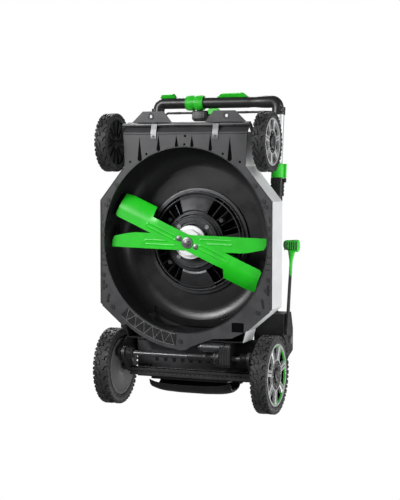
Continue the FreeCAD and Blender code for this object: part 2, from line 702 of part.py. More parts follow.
def shaft_boots():
    """Ribbed boots around the shaft, just inboard of each swing arm."""
    y, z = REAR_PIVOT
    ribs = [cyl_x(184 + 6 * k, 187.5 + 6 * k, y, z, 17) for k in range(4)]
    core = cyl_x(184, 205.5, y, z, 13)
    boot = cut(fuse(core, *ribs), cyl_x(180, 210, y, z, SHAFT_R + RUN_GAP))
    return both(boot)


# ---------------------------------------------------------------- drive unit and handle brackets
def gearbox_case():
    """Gear case around the drive shaft, hung from the tunnel floor by a lug."""
    y, z = REAR_PIVOT
    under_floor = TUNNEL_FLOOR + 1
    case = box(120, 158, 287, 366, 50, 116)
    long_edges = [e for e in case.Edges if e.BoundBox.XLength > 30]
    case = case.makeFillet(14, long_edges)
    sleeve, collar = case_sleeve(), case_collar()
    lug = box(90, 108, 300, 330, 110, under_floor)
    foot = box(90, 130, 300, 330, 96, 112)
    body = fuse(case, sleeve, collar, lug, foot)
    return cut(body, cyl_x(0, 200, y, z, SHAFT_R + RUN_GAP), tunnel(WALL))


def case_sleeve():
    return cyl_x(8, 97, *REAR_PIVOT, 13)


def case_collar():
    return cyl_x(97, 121, *REAR_PIVOT, 27)


def drive_motor():
    """Small motor beside the shaft, bolted to the gear case."""
    y, z = 306.0, 76.0
    return cut(fuse(cyl_x(50, 119.5, y, z, 16), cyl_x(44, 50, y, z, 8)), case_collar(), case_sleeve())


LEVER_PIVOT = (262.0, 228.0)     # y and z of the height lever
LEVER_PIN_R = 5.0
BRACKET_X = (186.0, 284.0)
PIN_R = 7.0
WHEEL_ROOM = 142.0       # radius kept free around the rear wheel through its height travel
TUBE_SLOT = (HANDLE_X - LOWER_R - 1.5, HANDLE_X + LOWER_R + 1.5)


def bracket():
    """Handle bracket: two cheeks, a leg that carries the swing-arm sleeve, and a side panel."""
    y, z = REAR_PIVOT
    cheeks = [(206, COVER_TOP), (206, 292), (262, 314), (334, 314), (352, 262), (352, COVER_TOP)]
    block = prism_x(cheeks, *BRACKET_X)
    slot = box(TUBE_SLOT[0], TUBE_SLOT[1], 200, 360, 226, 330)
    wheel = cyl_x(BRACKET_X[0] + 45, 300, REAR_WHEEL["y"], REAR_WHEEL["r"], WHEEL_ROOM)
    foot = [(y - 22, z), (y - 14, z - 22), (y + 10, z - 22), (y + 16, z)]
    leg = prism_x([(292, 240), (292, 120)] + foot + [(350, 120), (350, 240)], 222, 230)
    return cut(fuse(cut(block, wheel), leg), slot, cyl_x(180, 300, PIVOT_Y, PIVOT_Z, PIN_R),
               cyl_x(215, 240, y, z, SLEEVE_R + RUN_GAP),
               cyl_x(BRACKET_X[1] - 8.5, 300, *LEVER_PIVOT, LEVER_PIN_R))


def pivot_bolts():
    """Through bolts on which the handle folds."""
    bolt = fuse(cyl_x(BRACKET_X[0] - 6, BRACKET_X[0], PIVOT_Y, PIVOT_Z, 12),
                cyl_x(BRACKET_X[0], BRACKET_X[1], PIVOT_Y, PIVOT_Z, PIN_R),
                cyl_x(BRACKET_X[1], BRACKET_X[1] + 6, PIVOT_Y, PIVOT_Z, 12))
    return both(bolt)


# ---------------------------------------------------------------- height lever
LEVER_X = (287.0, 293.0)


def height_quadrant():
    """Notched plate beside the lever."""
    y, z = LEVER_PIVOT
    plate = prism_x([(y - 16, z - 14), (y + 12, z - 14), (y + 20, z + 16), (y - 40, z + 40), (y - 60, z + 26)],
                    BRACKET_X[1], BRACKET_X[1] + 2.4)
    return cut(plate, cyl_x(280, 290, y, z, LEVER_PIN_R))


def height_lever():
    """Flat arm that leans inwards towards its grip."""
    y, z = LEVER_PIVOT
    boss = cyl_x(LEVER_X[0], LEVER_X[1], y, z, 13)
    pin = cyl_x(BRACKET_X[1] - 8, LEVER_X[1], y, z, LEVER_PIN_R - RUN_GAP)
    arm = prism_x([(y, z - 10), (y, z + 10), (110, 262), (8, 282), (4, 270), (110, 246)], *LEVER_X)
    return fuse(boss, pin, arm)


def lever_grip():
    """T-shaped hand grip across the lever's front end."""
    bar = box(272, 318, -24, 8, 262, 284)
    long_edges = [e for e in bar.Edges if e.BoundBox.XLength > 40]
    bar = bar.makeFillet(9, long_edges)
    return cut(bar, height_lever())


# ---------------------------------------------------------------- doors
DOOR_HINGE = (438.0, 258.0)      # y and z
FLAP_HINGE = (-297.0, 196.0)     # x and z
FLAP_PIN_R = 4.0
PIN_SMALL = 3.0
DOOR_X = (TUNNEL_X - TUNNEL_HALF - 12, TUNNEL_X + TUNNEL_HALF + 12)


def rear_door():
    """Curved flap over the tunnel's rear mouth, hung from its top edge."""
    y, z = DOOR_HINGE
    low, high = DOOR_X
    outside = [(y - 4, z + 4), (y + 16, z + 2), (y + 36, z - 26), (y + 40, z - 62), (y + 26, z - 98),
               (y + 10, z - 106)]
    inside = [(y + 6, z - 104), (y + 22, z - 96), (y + 35.5, z - 61), (y + 31.5, z - 27), (y + 13, z - 2.5),
              (y - 4, z - 2)]
    skin = prism_x(outside + inside, low, high)
    ends = prism_x(outside + [(y + 4, z - 104), (y + 4, z - 8)], low, low + WALL)
    other = ends.copy()
    other.translate(V(high - low - WALL, 0, 0))
    return fuse(skin, ends, other, cyl_x(low, high, y, z, 5), cyl_x(low - 6, high + 6, y, z, PIN_SMALL))


def door_hinge():
    """Two lugs on the tunnel roof that carry the rear door."""
    y, z = DOOR_HINGE
    low, high = DOOR_X
    side = [(y - 22, z - 10), (y - 22, z + 6), (y + 8, z + 8), (y + 8, z - 8)]
    lugs = [prism_x(side, x0, x0 + 6) for x0 in (low - 6.5, high + 0.5)]
    bar = box(low - 6.5, high + 6.5, y - 26, y - 16, TUNNEL_ROOF + WALL, z + 4)
    return cut(fuse(bar, *lugs), cyl_x(low - 10, high + 10, y, z, PIN_SMALL + RUN_GAP))


def side_flap():
    """Plain cover over the side outlet, hinged along its top edge, with a flared lip at the bottom."""
    x, z = FLAP_HINGE
    skin = prism_y([(x - 4, z + 4), (x + 1, z + 4), (x + 1, z - 40), (x - 6, z - 54), (x - 21, z - 54),
                    (x - 17, z - 44), (x - 6, z - 36)], -110, 90)
    return fuse(skin, cyl_y(-118, 98, x, z, FLAP_PIN_R))


def flap_hinge():
    """Two ears on the cover's left side for the side flap's pin."""
    x, z = FLAP_HINGE
    ears = []
    for y0 in (-117.5, 90.5):
        side = [(x - 8, z - 8), (x - 8, z + 8), (x + 10, z + 8), (x + 26, z - 8), (x + 26, z - 40)]
        ear = prism_y(side, y0, y0 + 7)
        ears += cut(ear, cyl_y(-130, 110, x, z, FLAP_PIN_R + RUN_GAP), cover_solid(0, COVER_TOP)).Solids
    return Part.makeCompound(ears)


# ---------------------------------------------------------------- folding, telescoping handle
SPAN = math.hypot(BAR_Y - PIVOT_Y, BAR_Z - PIVOT_Z)
ALONG = ((BAR_Y - PIVOT_Y) / SPAN, (BAR_Z - PIVOT_Z) / SPAN)     # y and z of the tube's direction
LEG_X = 212.0            # middle of each turned-back end
BEND_R = 21.0
LOWER_END = 485.0
UPPER_START = 180.0
SOCKET = (737.0, 762.0)
CLAMP = (470.0, 527.0)
CAM = (527.6, 575.0)
CAM_HINGE = 25.0         # from the tube's centre to the cam's pin
BAIL_PIVOT = (742.0, 0.0)
BAIL_ROD = (750.0, 16.0)
BAIL_R = 4.0
DIAL_ROOM = 27.0


def at(s, lift=0.0):
    """y and z of a point s along the handle tube from the fold pivot, and lift above it."""
    return (PIVOT_Y + ALONG[0] * s + ALONG[1] * lift, PIVOT_Z + ALONG[1] * s - ALONG[0] * lift)


def tube_rod(x, s0, s1, r, lift=0.0):
    return rod((x, *at(s0, lift)), (x, *at(s1, lift)), r)


def handle_box(x0, x1, s0, s1, low, high):
    return prism_x([at(s0, low), at(s1, low), at(s1, high), at(s0, high)], x0, x1)


def cross_rod(x0, x1, s, lift, r):
    y, z = at(s, lift)
    return cyl_x(x0, x1, y, z, r)


def lower_tubes():
    """Outer tubes; each turns on its through bolt."""
    tube = tube_rod(HANDLE_X, -22, LOWER_END, LOWER_R)
    bore = tube_rod(HANDLE_X, 40, LOWER_END + 1, UPPER_R + RUN_GAP)
    return both(cut(tube, bore, cyl_x(190, 250, PIVOT_Y, PIVOT_Z, PIN_R + RUN_GAP)))


def clamp_blocks():
    """Blocks on the ends of the outer tubes that grip the telescoping tubes."""
    block = handle_box(HANDLE_X - 21, HANDLE_X + 20, CLAMP[0], CLAMP[1], -20, 20)
    ear = handle_box(HANDLE_X + 19, HANDLE_X + CAM_HINGE + 4.5, CLAMP[1] - 14, CLAMP[1], -5, 5)
    steps = [handle_box(HANDLE_X - 30, HANDLE_X + 30, s, s + 3, -24, -17.5) for s in (482, 494, 506)]
    body = fuse(block, ear)
    return both(cut(body, tube_rod(HANDLE_X, CLAMP[0] - 1, LOWER_END, LOWER_R),
                    tube_rod(HANDLE_X, LOWER_END, CLAMP[1] + 1, UPPER_R + RUN_GAP),
                    tube_rod(HANDLE_X + CAM_HINGE, CLAMP[1] - 10, CLAMP[1] + 1, 3 + RUN_GAP), *steps))


def cam_lever():
    """Curved lever under the tube, on a pin beside it."""
    shell = tube_rod(HANDLE_X, CAM[0], CAM[1], 22.5).cut(tube_rod(HANDLE_X, CAM[0] - 1, CAM[1] + 1, 16))
    shell = shell.cut(handle_box(HANDLE_X - 40, HANDLE_X + 40, CAM[0] - 1, CAM[1] + 1, -2, 40))
    pin = tube_rod(HANDLE_X + CAM_HINGE, CLAMP[1] - 9.5, CAM[1], 3)
    boss = tube_rod(HANDLE_X + CAM_HINGE, CAM[0], CAM[1], 4.5)
    web = handle_box(HANDLE_X + 17, HANDLE_X + CAM_HINGE, CAM[0], CAM[1], -4.5, -2)
    return fuse(shell, pin, boss, web)


def upper_tubes():
    """Telescoping tubes that carry the hand grip."""
    end = SOCKET[1] - 5
    tube = tube_rod(HANDLE_X, UPPER_START, end, UPPER_R)
    return both(tube.cut(tube_rod(HANDLE_X, UPPER_START - 1, end + 1, UPPER_R - TUBE_WALL)))


def handle_bar():
    """Cross bar whose ends turn back into sockets over the telescoping tubes."""
    leg, start = SPAN - BEND_R, SOCKET[0]
    corner = BEND_R * (1 - math.sqrt(0.5))
    left, right = [(side * LEG_X, side * (LEG_X - BEND_R), side * (LEG_X - corner)) for side in (1, -1)]
    path = [Part.LineSegment(V(left[0], *at(start)), V(left[0], *at(leg))),
            Part.Arc(V(left[0], *at(leg)), V(left[2], *at(SPAN - corner)), V(left[1], *at(SPAN))),
            Part.LineSegment(V(left[1], *at(SPAN)), V(right[1], *at(SPAN))),
            Part.Arc(V(right[1], *at(SPAN)), V(right[2], *at(SPAN - corner)), V(right[0], *at(leg))),
            Part.LineSegment(V(right[0], *at(leg)), V(right[0], *at(start)))]
    spine = Part.Wire([piece.toShape() for piece in path])
    ring = Part.Wire([Part.Circle(V(left[0], *at(start)), V(0, *ALONG), BAR_R).toShape()])
    body = spine.makePipeShell([ring], True, True, 2)
    bosses = [tube_rod(side * HANDLE_X, *SOCKET, UPPER_R + 2.5) for side in (-1, 1)]
    tools = [tube_rod(side * HANDLE_X, SOCKET[0] - 1, SOCKET[1] - 5, UPPER_R) for side in (-1, 1)]
    tools += [cross_rod(*sorted((side * 190, side * 206)), *BAIL_PIVOT, BAIL_R + RUN_GAP) for side in (-1, 1)]
    return cut(fuse(body, *bosses), *tools)


def bail_bar():
    """Thin bar behind the grip; squeezing it towards the grip lets the blade run."""
    arm = LEG_X - BAR_R - 6
    pieces = [cross_rod(-arm, arm, *BAIL_ROD, BAIL_R)]
    for side in (-1, 1):
        inner, outer = sorted((side * arm, side * (LEG_X - 7)))
        y0, z0 = at(*BAIL_ROD)
        y1, z1 = at(*BAIL_PIVOT)
        pieces += [rod((side * arm, y0, z0), (side * arm, y1, z1), BAIL_R),
                   cross_rod(inner, outer, *BAIL_PIVOT, BAIL_R),
                   Part.makeSphere(BAIL_R + 0.4, V(side * arm, y0, z0)),
                   Part.makeSphere(BAIL_R + 0.4, V(side * arm, y1, z1))]
    return fuse(*pieces)


def speed_dial():
    """Ribbed ring that turns on the bar."""
    y, z = at(SPAN)
    bore = BAR_R + FACE_GAP
    ring = turned_x([(-110, bore), (-110, 24), (-106, 26), (-52, 26), (-48, 24), (-48, bore)], y, z)
    rib = box(-104, -54, y - 2.2, y + 2.2, z + 24.6, z + 28)
    tools = []
    count = 16
    for k in range(count):
        copy = rib.copy()
        copy.rotate(V(0, y, z), V(1, 0, 0), 360 / count * k)
        tools.append(copy)
    return ring.cut(Part.makeCompound(tools))


def control_box():
    """Switch housing behind the bar."""
    body = handle_box(-80, -28, 719, 768, -30, -2)
    shelf = handle_box(-79, 14, 735, 768, -3, 4)
    return cut(fuse(body, shelf), cyl_x(-100, 100, *at(SPAN), BAR_R), cyl_x(-90, -47, *at(SPAN), DIAL_ROOM))


def start_button():
    """Push button beside the control box."""
    return handle_box(-27, 12, 738, 759, -22, -7.5)


def paddle(x0, x1):
    """Finger paddle on the bar's far side; it turns on the bar."""
    y, z = at(SPAN)
    ring = turned_x([(x0, BAR_R + FACE_GAP), (x0, 23), (x0 + 6, 33.2), (x1 - 6, 33.2), (x1, 23),
                     (x1, BAR_R + FACE_GAP)], y, z)
    keep_zone = prism_x([(y, z), (y - 40, z - 24), (y - 40, z + 30)], x0 - 1, x1 + 1)
    return ring.common(keep_zone)


# ---------------------------------------------------------------- all pieces
def build():
    keep("deck_liner", deck_liner())
    keep("deck_cover", deck_cover())
    keep("discharge_tunnel", discharge_tunnel())
    keep("motor_plate", motor_plate())
    keep("motor_can", motor_can())
    keep("motor_screws", motor_screws())
    keep("flange_screws", flange_screws())
    keep("front_axle_clips", front_axle_clips())
    keep("top_cowl", top_cowl())
    keep("battery_tray", battery_tray())
    keep("battery_pack", battery_pack())
    keep("battery_lid", battery_lid())
    keep("motor_rotor", motor_rotor())
    keep("blade_carrier", blade_carrier())
    keep("upper_blade", upper_blade())
    keep("lower_blade", lower_blade())
    keep("blade_washer", blade_washer())
    keep("blade_bolt", blade_bolt())
    keep("drive_pins", drive_pins())
    keep("front_axle", front_axle())
    keep("rear_axle", rear_axle())
    keep("dust_covers", dust_covers())
    keep("drive_shaft", drive_shaft())
    keep("shaft_boots", shaft_boots())
    keep("gearbox_case", gearbox_case())
    keep("drive_motor", drive_motor())
    for end, w in (("front", FRONT_WHEEL), ("rear", REAR_WHEEL)):
        tyre, rim, cap = wheel_tyre(w), wheel_rim(w, end == "rear"), hub_cap(w)
        for piece, shape in (("tyre", tyre), ("rim", rim), ("hub_cap", cap)):
            keep(f"{end}_{piece}_left", shape)
            keep(f"{end}_{piece}_right", mirrored(shape))
    keep("bracket_left", bracket())
    keep("bracket_right", mirrored(bracket()))
    keep("pivot_bolts", pivot_bolts())
    keep("height_quadrant", height_quadrant())
    keep("height_lever", height_lever())
    keep("lever_grip", lever_grip())
    keep("rear_door", rear_door())
    keep("door_hinge", door_hinge())
    keep("side_flap", side_flap())
    keep("flap_hinge", flap_hinge())
    keep("lower_tubes", lower_tubes())
    keep("clamp_blocks", clamp_blocks())
    keep("cam_lever_left", cam_lever())
    keep("cam_lever_right", mirrored(cam_lever()))
    keep("upper_tubes", upper_tubes())
    keep("handle_bar", handle_bar())
    keep("bail_bar", bail_bar())
    keep("speed_dial", speed_dial())
    keep("control_box", control_box())
    keep("start_button", start_button())
    keep("paddle_left", paddle(2, 104))
    keep("paddle_right", paddle(-204, -150))


build()
os.makedirs("parts", exist_ok=True)
for name, shape in PARTS.items():
    if not shape.isValid() or not shape.Solids:
        print("check", name, shape.isValid(), len(shape.Solids))
    shape.exportStep(f"parts/{name}.step")
    b = shape.BoundBox
    print(f"{name:20s} solids {len(shape.Solids):3d} volume {shape.Volume / 1000:9.1f} cm3"
          f"  x {b.XMin:7.1f} {b.XMax:7.1f}  y {b.YMin:7.1f} {b.YMax:7.1f}  z {b.ZMin:6.1f} {b.ZMax:6.1f}")
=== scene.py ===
import math

import bmesh
import bpy
from mathutils import Matrix, Vector


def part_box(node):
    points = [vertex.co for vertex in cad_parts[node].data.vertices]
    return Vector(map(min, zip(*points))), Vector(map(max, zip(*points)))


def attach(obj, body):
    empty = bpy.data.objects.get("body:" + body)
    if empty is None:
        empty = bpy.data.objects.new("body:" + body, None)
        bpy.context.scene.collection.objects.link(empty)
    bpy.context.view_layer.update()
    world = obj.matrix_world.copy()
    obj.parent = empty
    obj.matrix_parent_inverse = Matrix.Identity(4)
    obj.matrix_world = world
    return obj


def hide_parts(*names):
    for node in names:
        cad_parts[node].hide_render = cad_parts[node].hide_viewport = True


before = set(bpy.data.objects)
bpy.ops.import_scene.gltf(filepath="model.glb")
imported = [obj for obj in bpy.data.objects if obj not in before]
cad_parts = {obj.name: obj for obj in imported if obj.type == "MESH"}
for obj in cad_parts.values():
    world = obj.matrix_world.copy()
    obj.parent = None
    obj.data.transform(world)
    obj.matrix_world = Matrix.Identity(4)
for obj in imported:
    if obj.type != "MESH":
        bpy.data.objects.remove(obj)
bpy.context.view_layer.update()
MM = 0.001

# ---------------------------------------------------------------- places taken from the frame
HUB_Y = sum(c.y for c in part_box("blade_washer")) / 2
FLANGE_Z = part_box("deck_liner")[0].z
BOLT_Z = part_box("blade_bolt")[0].z


# ---------------------------------------------------------------- camera, lights and floor
FOCAL_MM = 92.16
YAW, PITCH, ROLL = math.radians(20.83), math.radians(3.63), math.radians(0.10)
DISTANCE = 4.053
SHIFT_RIGHT, SHIFT_UP = -0.0445, 0.0223      # of the blade bolt in the view, from its middle
WORLD_LIGHT = 0.13           # strength of the studio on the object; the camera sees it at 1
FLOOR_HALF, FLOOR_GAP = 40.0, 0.0005
FADE_START, FADE_END = 0.4, 3.2              # distances at which the floor starts and ends to whiten
FLOOR_GLOW = 0.45            # whiteness of the floor near the mower


def add_camera():
    """Looks up at the underside, a little from the operator's left."""
    right = Vector((math.cos(YAW), 0, math.sin(YAW)))
    up = Vector((-math.sin(YAW) * math.sin(PITCH), -math.cos(PITCH), math.cos(YAW) * math.sin(PITCH)))
    back = right.cross(up)
    data = bpy.data.cameras.new("camera")
    data.lens = FOCAL_MM
    data.sensor_width = 36
    data.clip_end = 50
    camera = bpy.data.objects.new("camera", data)
    bpy.context.collection.objects.link(camera)
    bolt = Vector((0, HUB_Y, BOLT_Z))
    place = bolt - right * SHIFT_RIGHT - up * SHIFT_UP + back * DISTANCE
    turn = Matrix((right, up, back)).transposed().to_4x4() @ Matrix.Rotation(ROLL, 4, "Z")
    camera.matrix_world = Matrix.Translation(place) @ turn
    bpy.context.scene.camera = camera


def add_light(name, place, target, size, watts, colour=(1, 1, 1)):
    data = bpy.data.lights.new(name, "AREA")
    data.size = size
    data.energy = watts
    data.color = colour
    light = bpy.data.objects.new(name, data)
    light.location = place
    light.rotation_euler = (Vector(target) - Vector(place)).to_track_quat("-Z", "Y").to_euler()
    bpy.context.collection.objects.link(light)


def add_world():
    """White studio seen by the camera; its light on the object is softer."""
    world = bpy.data.worlds.new("studio")
    bpy.context.scene.world = world
    world.use_nodes = True
    nodes, links = world.node_tree.nodes, world.node_tree.links
    background = nodes["Background"]
    background.inputs["Color"].default_value = (1, 1, 1, 1)
    path = nodes.new("ShaderNodeLightPath")
    level = nodes.new("ShaderNodeMapRange")
    level.inputs["To Min"].default_value = WORLD_LIGHT
    level.inputs["To Max"].default_value = 1.0
    links.new(path.outputs["Is Camera Ray"], level.inputs["Value"])
    links.new(level.outputs["Result"], background.inputs["Strength"])


def add_floor():
    """Pale floor that shows only from above and fades into the white studio far away."""
    corners = [(a * FLOOR_HALF, b * FLOOR_HALF, 0) for a, b in ((-1, -1), (1, -1), (1, 1), (-1, 1))]
    mesh = bpy.data.meshes.new("floor")
    mesh.from_pydata(corners, [], [(0, 1, 2, 3)])
    floor = bpy.data.objects.new("floor", mesh)
    floor.location.z = -FLOOR_GAP
    bpy.context.collection.objects.link(floor)
    paint = bpy.data.materials.new("floor_paint")
    paint.use_nodes = True
    nodes, links = paint.node_tree.nodes, paint.node_tree.links
    nodes.remove(nodes["Principled BSDF"])
    matt = nodes.new("ShaderNodeBsdfDiffuse")
    glow = nodes.new("ShaderNodeEmission")
    lit = nodes.new("ShaderNodeMixShader")
    coordinates = nodes.new("ShaderNodeTexCoord")
    away = nodes.new("ShaderNodeVectorMath")
    away.operation = "LENGTH"
    fade = nodes.new("ShaderNodeMapRange")
    fade.interpolation_type = "SMOOTHSTEP"
    levels = (("From Min", FADE_START), ("From Max", FADE_END), ("To Min", FLOOR_GLOW), ("To Max", 1.0))
    for key, number in levels:
        fade.inputs[key].default_value = number
    noise = nodes.new("ShaderNodeTexNoise")
    noise.inputs["Scale"].default_value = 3.0
    ramp = nodes.new("ShaderNodeValToRGB")
    ramp.color_ramp.elements[0].color = (0.80, 0.80, 0.80, 1)
    ramp.color_ramp.elements[1].color = (0.86, 0.86, 0.86, 1)
    clear = nodes.new("ShaderNodeBsdfTransparent")
    geometry = nodes.new("ShaderNodeNewGeometry")
    path = nodes.new("ShaderNodeLightPath")
    front = nodes.new("ShaderNodeMath")
    front.operation = "SUBTRACT"
    front.use_clamp = True
    mix = nodes.new("ShaderNodeMixShader")
    links.new(path.outputs["Is Camera Ray"], front.inputs[0])
    links.new(geometry.outputs["Backfacing"], front.inputs[1])
    links.new(noise.outputs["Fac"], ramp.inputs["Fac"])
    links.new(ramp.outputs["Color"], matt.inputs["Color"])
    links.new(front.outputs[0], mix.inputs["Fac"])
    links.new(clear.outputs[0], mix.inputs[1])
    links.new(coordinates.outputs["Object"], away.inputs[0])
    links.new(away.outputs["Value"], fade.inputs["Value"])
    links.new(fade.outputs["Result"], lit.inputs["Fac"])
    links.new(matt.outputs[0], lit.inputs[1])
    links.new(glow.outputs[0], lit.inputs[2])
    links.new(lit.outputs[0], mix.inputs[2])
    links.new(mix.outputs[0], nodes["Material Output"].inputs["Surface"])
    floor.data.materials.append(paint)


def add_stage():
    bpy.context.scene.view_settings.view_transform = "Standard"
    add_camera()
    add_world()
    add_floor()
    hub = (0, HUB_Y, 0.15)
    add_light("key_below", (-1.9, -1.5, -2.6), hub, 1.4, 120)
    add_light("fill_below", (2.6, 0.9, -2.0), hub, 1.6, 60)
    add_light("rim_side", (2.6, -0.8, 0.3), hub, 1.2, 34)
    add_light("key_above", (-1.8, -2.2, 3.0), hub, 1.8, 110)
    add_light("fill_above", (2.4, 2.0, 2.2), hub, 2.4, 70)


# ---------------------------------------------------------------- materials
CHAMBER_SPAN, CHAMBER_AHEAD = (0.2775, 0.294), 0.0318    # half axes of the chamber and its middle's -y
# painted shade: near-black tint for the recessed blade chamber
CHAMBER_SHADE_BLACK = (0.011, 0.011, 0.012)
# painted shade: near-black for the pale cover's inner faces and rear lower edges
COVER_SHADE_BLACK = (0.012, 0.012, 0.013)
REAR_EDGE_Y = 0.225          # painted shade: lower edges of the cover behind this are painted near-black


class Paint:
    """Node-based finish with colour mottling, varied roughness and a fine surface grain."""

    def __init__(self, name, colour, second=None, rough=(0.4, 0.55), metallic=0.0):
        self.material = bpy.data.materials.new(name)
        self.material.use_nodes = True
        self.nodes = self.material.node_tree.nodes
        self.links = self.material.node_tree.links
        self.shader = self.nodes["Principled BSDF"]
        self.shader.inputs["Metallic"].default_value = metallic
        self.place = self.nodes.new("ShaderNodeTexCoord").outputs["Object"]
        self.height = None
        second = second or tuple(c * 0.8 for c in colour)
        mottle = self.noise(14, 5)
        ramp = self.nodes.new("ShaderNodeValToRGB")
        ramp.color_ramp.elements[0].position = 0.35
        ramp.color_ramp.elements[1].position = 0.68
        ramp.color_ramp.elements[0].color = (*second, 1)
        ramp.color_ramp.elements[1].color = (*colour, 1)
        self.links.new(mottle, ramp.inputs["Fac"])
        self.colour = ramp.outputs["Color"]
        self.links.new(self.colour, self.shader.inputs["Base Color"])
        self.rough = self.ranged(self.noise(55, 4), 0.3, 0.7, *rough)
        self.links.new(self.rough, self.shader.inputs["Roughness"])

    def noise(self, scale, detail, stretch=None):
        node = self.nodes.new("ShaderNodeTexNoise")
        node.inputs["Scale"].default_value = scale
        node.inputs["Detail"].default_value = detail
        source = self.place
        if stretch:
            mapping = self.nodes.new("ShaderNodeMapping")
            mapping.inputs["Scale"].default_value = stretch
            self.links.new(source, mapping.inputs["Vector"])
            source = mapping.outputs["Vector"]
        self.links.new(source, node.inputs["Vector"])
        return node.outputs["Fac"]

    def ranged(self, value, low, high, to_low, to_high):
        node = self.nodes.new("ShaderNodeMapRange")
        for key, number in (("From Min", low), ("From Max", high), ("To Min", to_low), ("To Max", to_high)):
            node.inputs[key].default_value = number
        self.links.new(value, node.inputs["Value"])
        return node.outputs["Result"]

    def bump(self, value, strength, distance):
        """Adds a layer of relief under the ones before it."""
        node = self.nodes.new("ShaderNodeBump")
        node.inputs["Strength"].default_value = strength
        node.inputs["Distance"].default_value = distance
        self.links.new(value, node.inputs["Height"])
        if self.height:
            self.links.new(self.height, node.inputs["Normal"])
        self.height = node.outputs["Normal"]
        self.links.new(self.height, self.shader.inputs["Normal"])
        return self

    def grain(self, scale, strength, distance):
        return self.bump(self.noise(scale, 2), strength, distance)

    def tint(self, value, colour, low, high):
        """Mixes a colour in where a value lies between two levels."""
        mix = self.nodes.new("ShaderNodeMix")
        mix.data_type = "RGBA"
        mix.inputs["B"].default_value = (*colour, 1)
        self.links.new(self.ranged(value, low, high, 0, 1), mix.inputs["Factor"])
        self.links.new(self.colour, mix.inputs["A"])
        self.colour = mix.outputs["Result"]
        self.links.new(self.colour, self.shader.inputs["Base Color"])
        return self

    def scuffs(self, colour):
        """Fine directional scratches that catch the light."""
        return self.tint(self.noise(90, 6, (1, 14, 3)), colour, 0.7025, 0.80)

    def paint_chamber_shade(self):
        """Painted shade: blacker colour inside the recessed blade chamber, by its place on the moulding,
        with a glossier finish there.
        """
        mapping = self.nodes.new("ShaderNodeMapping")
        across, along = CHAMBER_SPAN
        mapping.inputs["Location"].default_value = (0, CHAMBER_AHEAD / along, 0)
        mapping.inputs["Scale"].default_value = (1 / across, 1 / along, 0)
        self.links.new(self.place, mapping.inputs["Vector"])
        length = self.nodes.new("ShaderNodeVectorMath")
        length.operation = "LENGTH"
        self.links.new(mapping.outputs["Vector"], length.inputs[0])
        inside = self.ranged(length.outputs["Value"], 1.001, 0.997, 0, 1)
        # painted shade: the chamber's recess is tinted near-black
        self.tint(inside, CHAMBER_SHADE_BLACK, 0, 1)
        mix = self.nodes.new("ShaderNodeMix")
        mix.data_type = "FLOAT"
        self.links.new(inside, mix.inputs["Factor"])
        self.links.new(self.rough, mix.inputs["A"])
        self.links.new(self.ranged(self.noise(20, 4), 0.3, 0.7, 0.26, 0.36), mix.inputs["B"])
        self.links.new(mix.outputs["Result"], self.shader.inputs["Roughness"])
        return self

    def paint_cover_shade(self):
        """Painted shade: near-black on inner faces, whose normal points back to the mower's middle, where
        shade falls under the cover, and on rear lower edges.
        """
        geometry = self.nodes.new("ShaderNodeNewGeometry")
        product = self.nodes.new("ShaderNodeVectorMath")
        product.operation = "DOT_PRODUCT"
        flat = self.nodes.new("ShaderNodeVectorMath")
        flat.operation = "ADD"
        flat.inputs[1].default_value = (0, 0.05, -0.12)
        self.links.new(self.place, flat.inputs[0])
        self.links.new(flat.outputs["Vector"], product.inputs[0])
        self.links.new(geometry.outputs["True Normal"], product.inputs[1])
        # painted shade on faces turned towards the mower's middle
        self.tint(product.outputs["Value"], COVER_SHADE_BLACK, 0.0, -0.01)
        place, facing = (self.nodes.new("ShaderNodeSeparateXYZ") for _ in range(2))
        self.links.new(self.place, place.inputs[0])
        self.links.new(geometry.outputs["True Normal"], facing.inputs[0])
        rear_edge_shade = self.nodes.new("ShaderNodeMath")
        rear_edge_shade.operation = "MULTIPLY"
        self.links.new(self.ranged(place.outputs["Y"], REAR_EDGE_Y, REAR_EDGE_Y + 0.01, 0, 1),
                       rear_edge_shade.inputs[0])
        self.links.new(self.ranged(facing.outputs["Z"], -0.5, -0.8, 0, 1), rear_edge_shade.inputs[1])
        # painted shade on the rear lower edges
        return self.tint(rear_edge_shade.outputs[0], COVER_SHADE_BLACK, 0, 1)

    def set(self, **values):
        for key, number in values.items():
            self.shader.inputs[key.replace("_", " ")].default_value = number
        return self


GLOSSY = ("tube", "black_steel", "grip_gloss", "rod", "steel", "clip", "white", "rim")
GLOSS_RELIEF, MATT_RELIEF = 0.00006, 0.0003      # depth of the surface grain, in metres


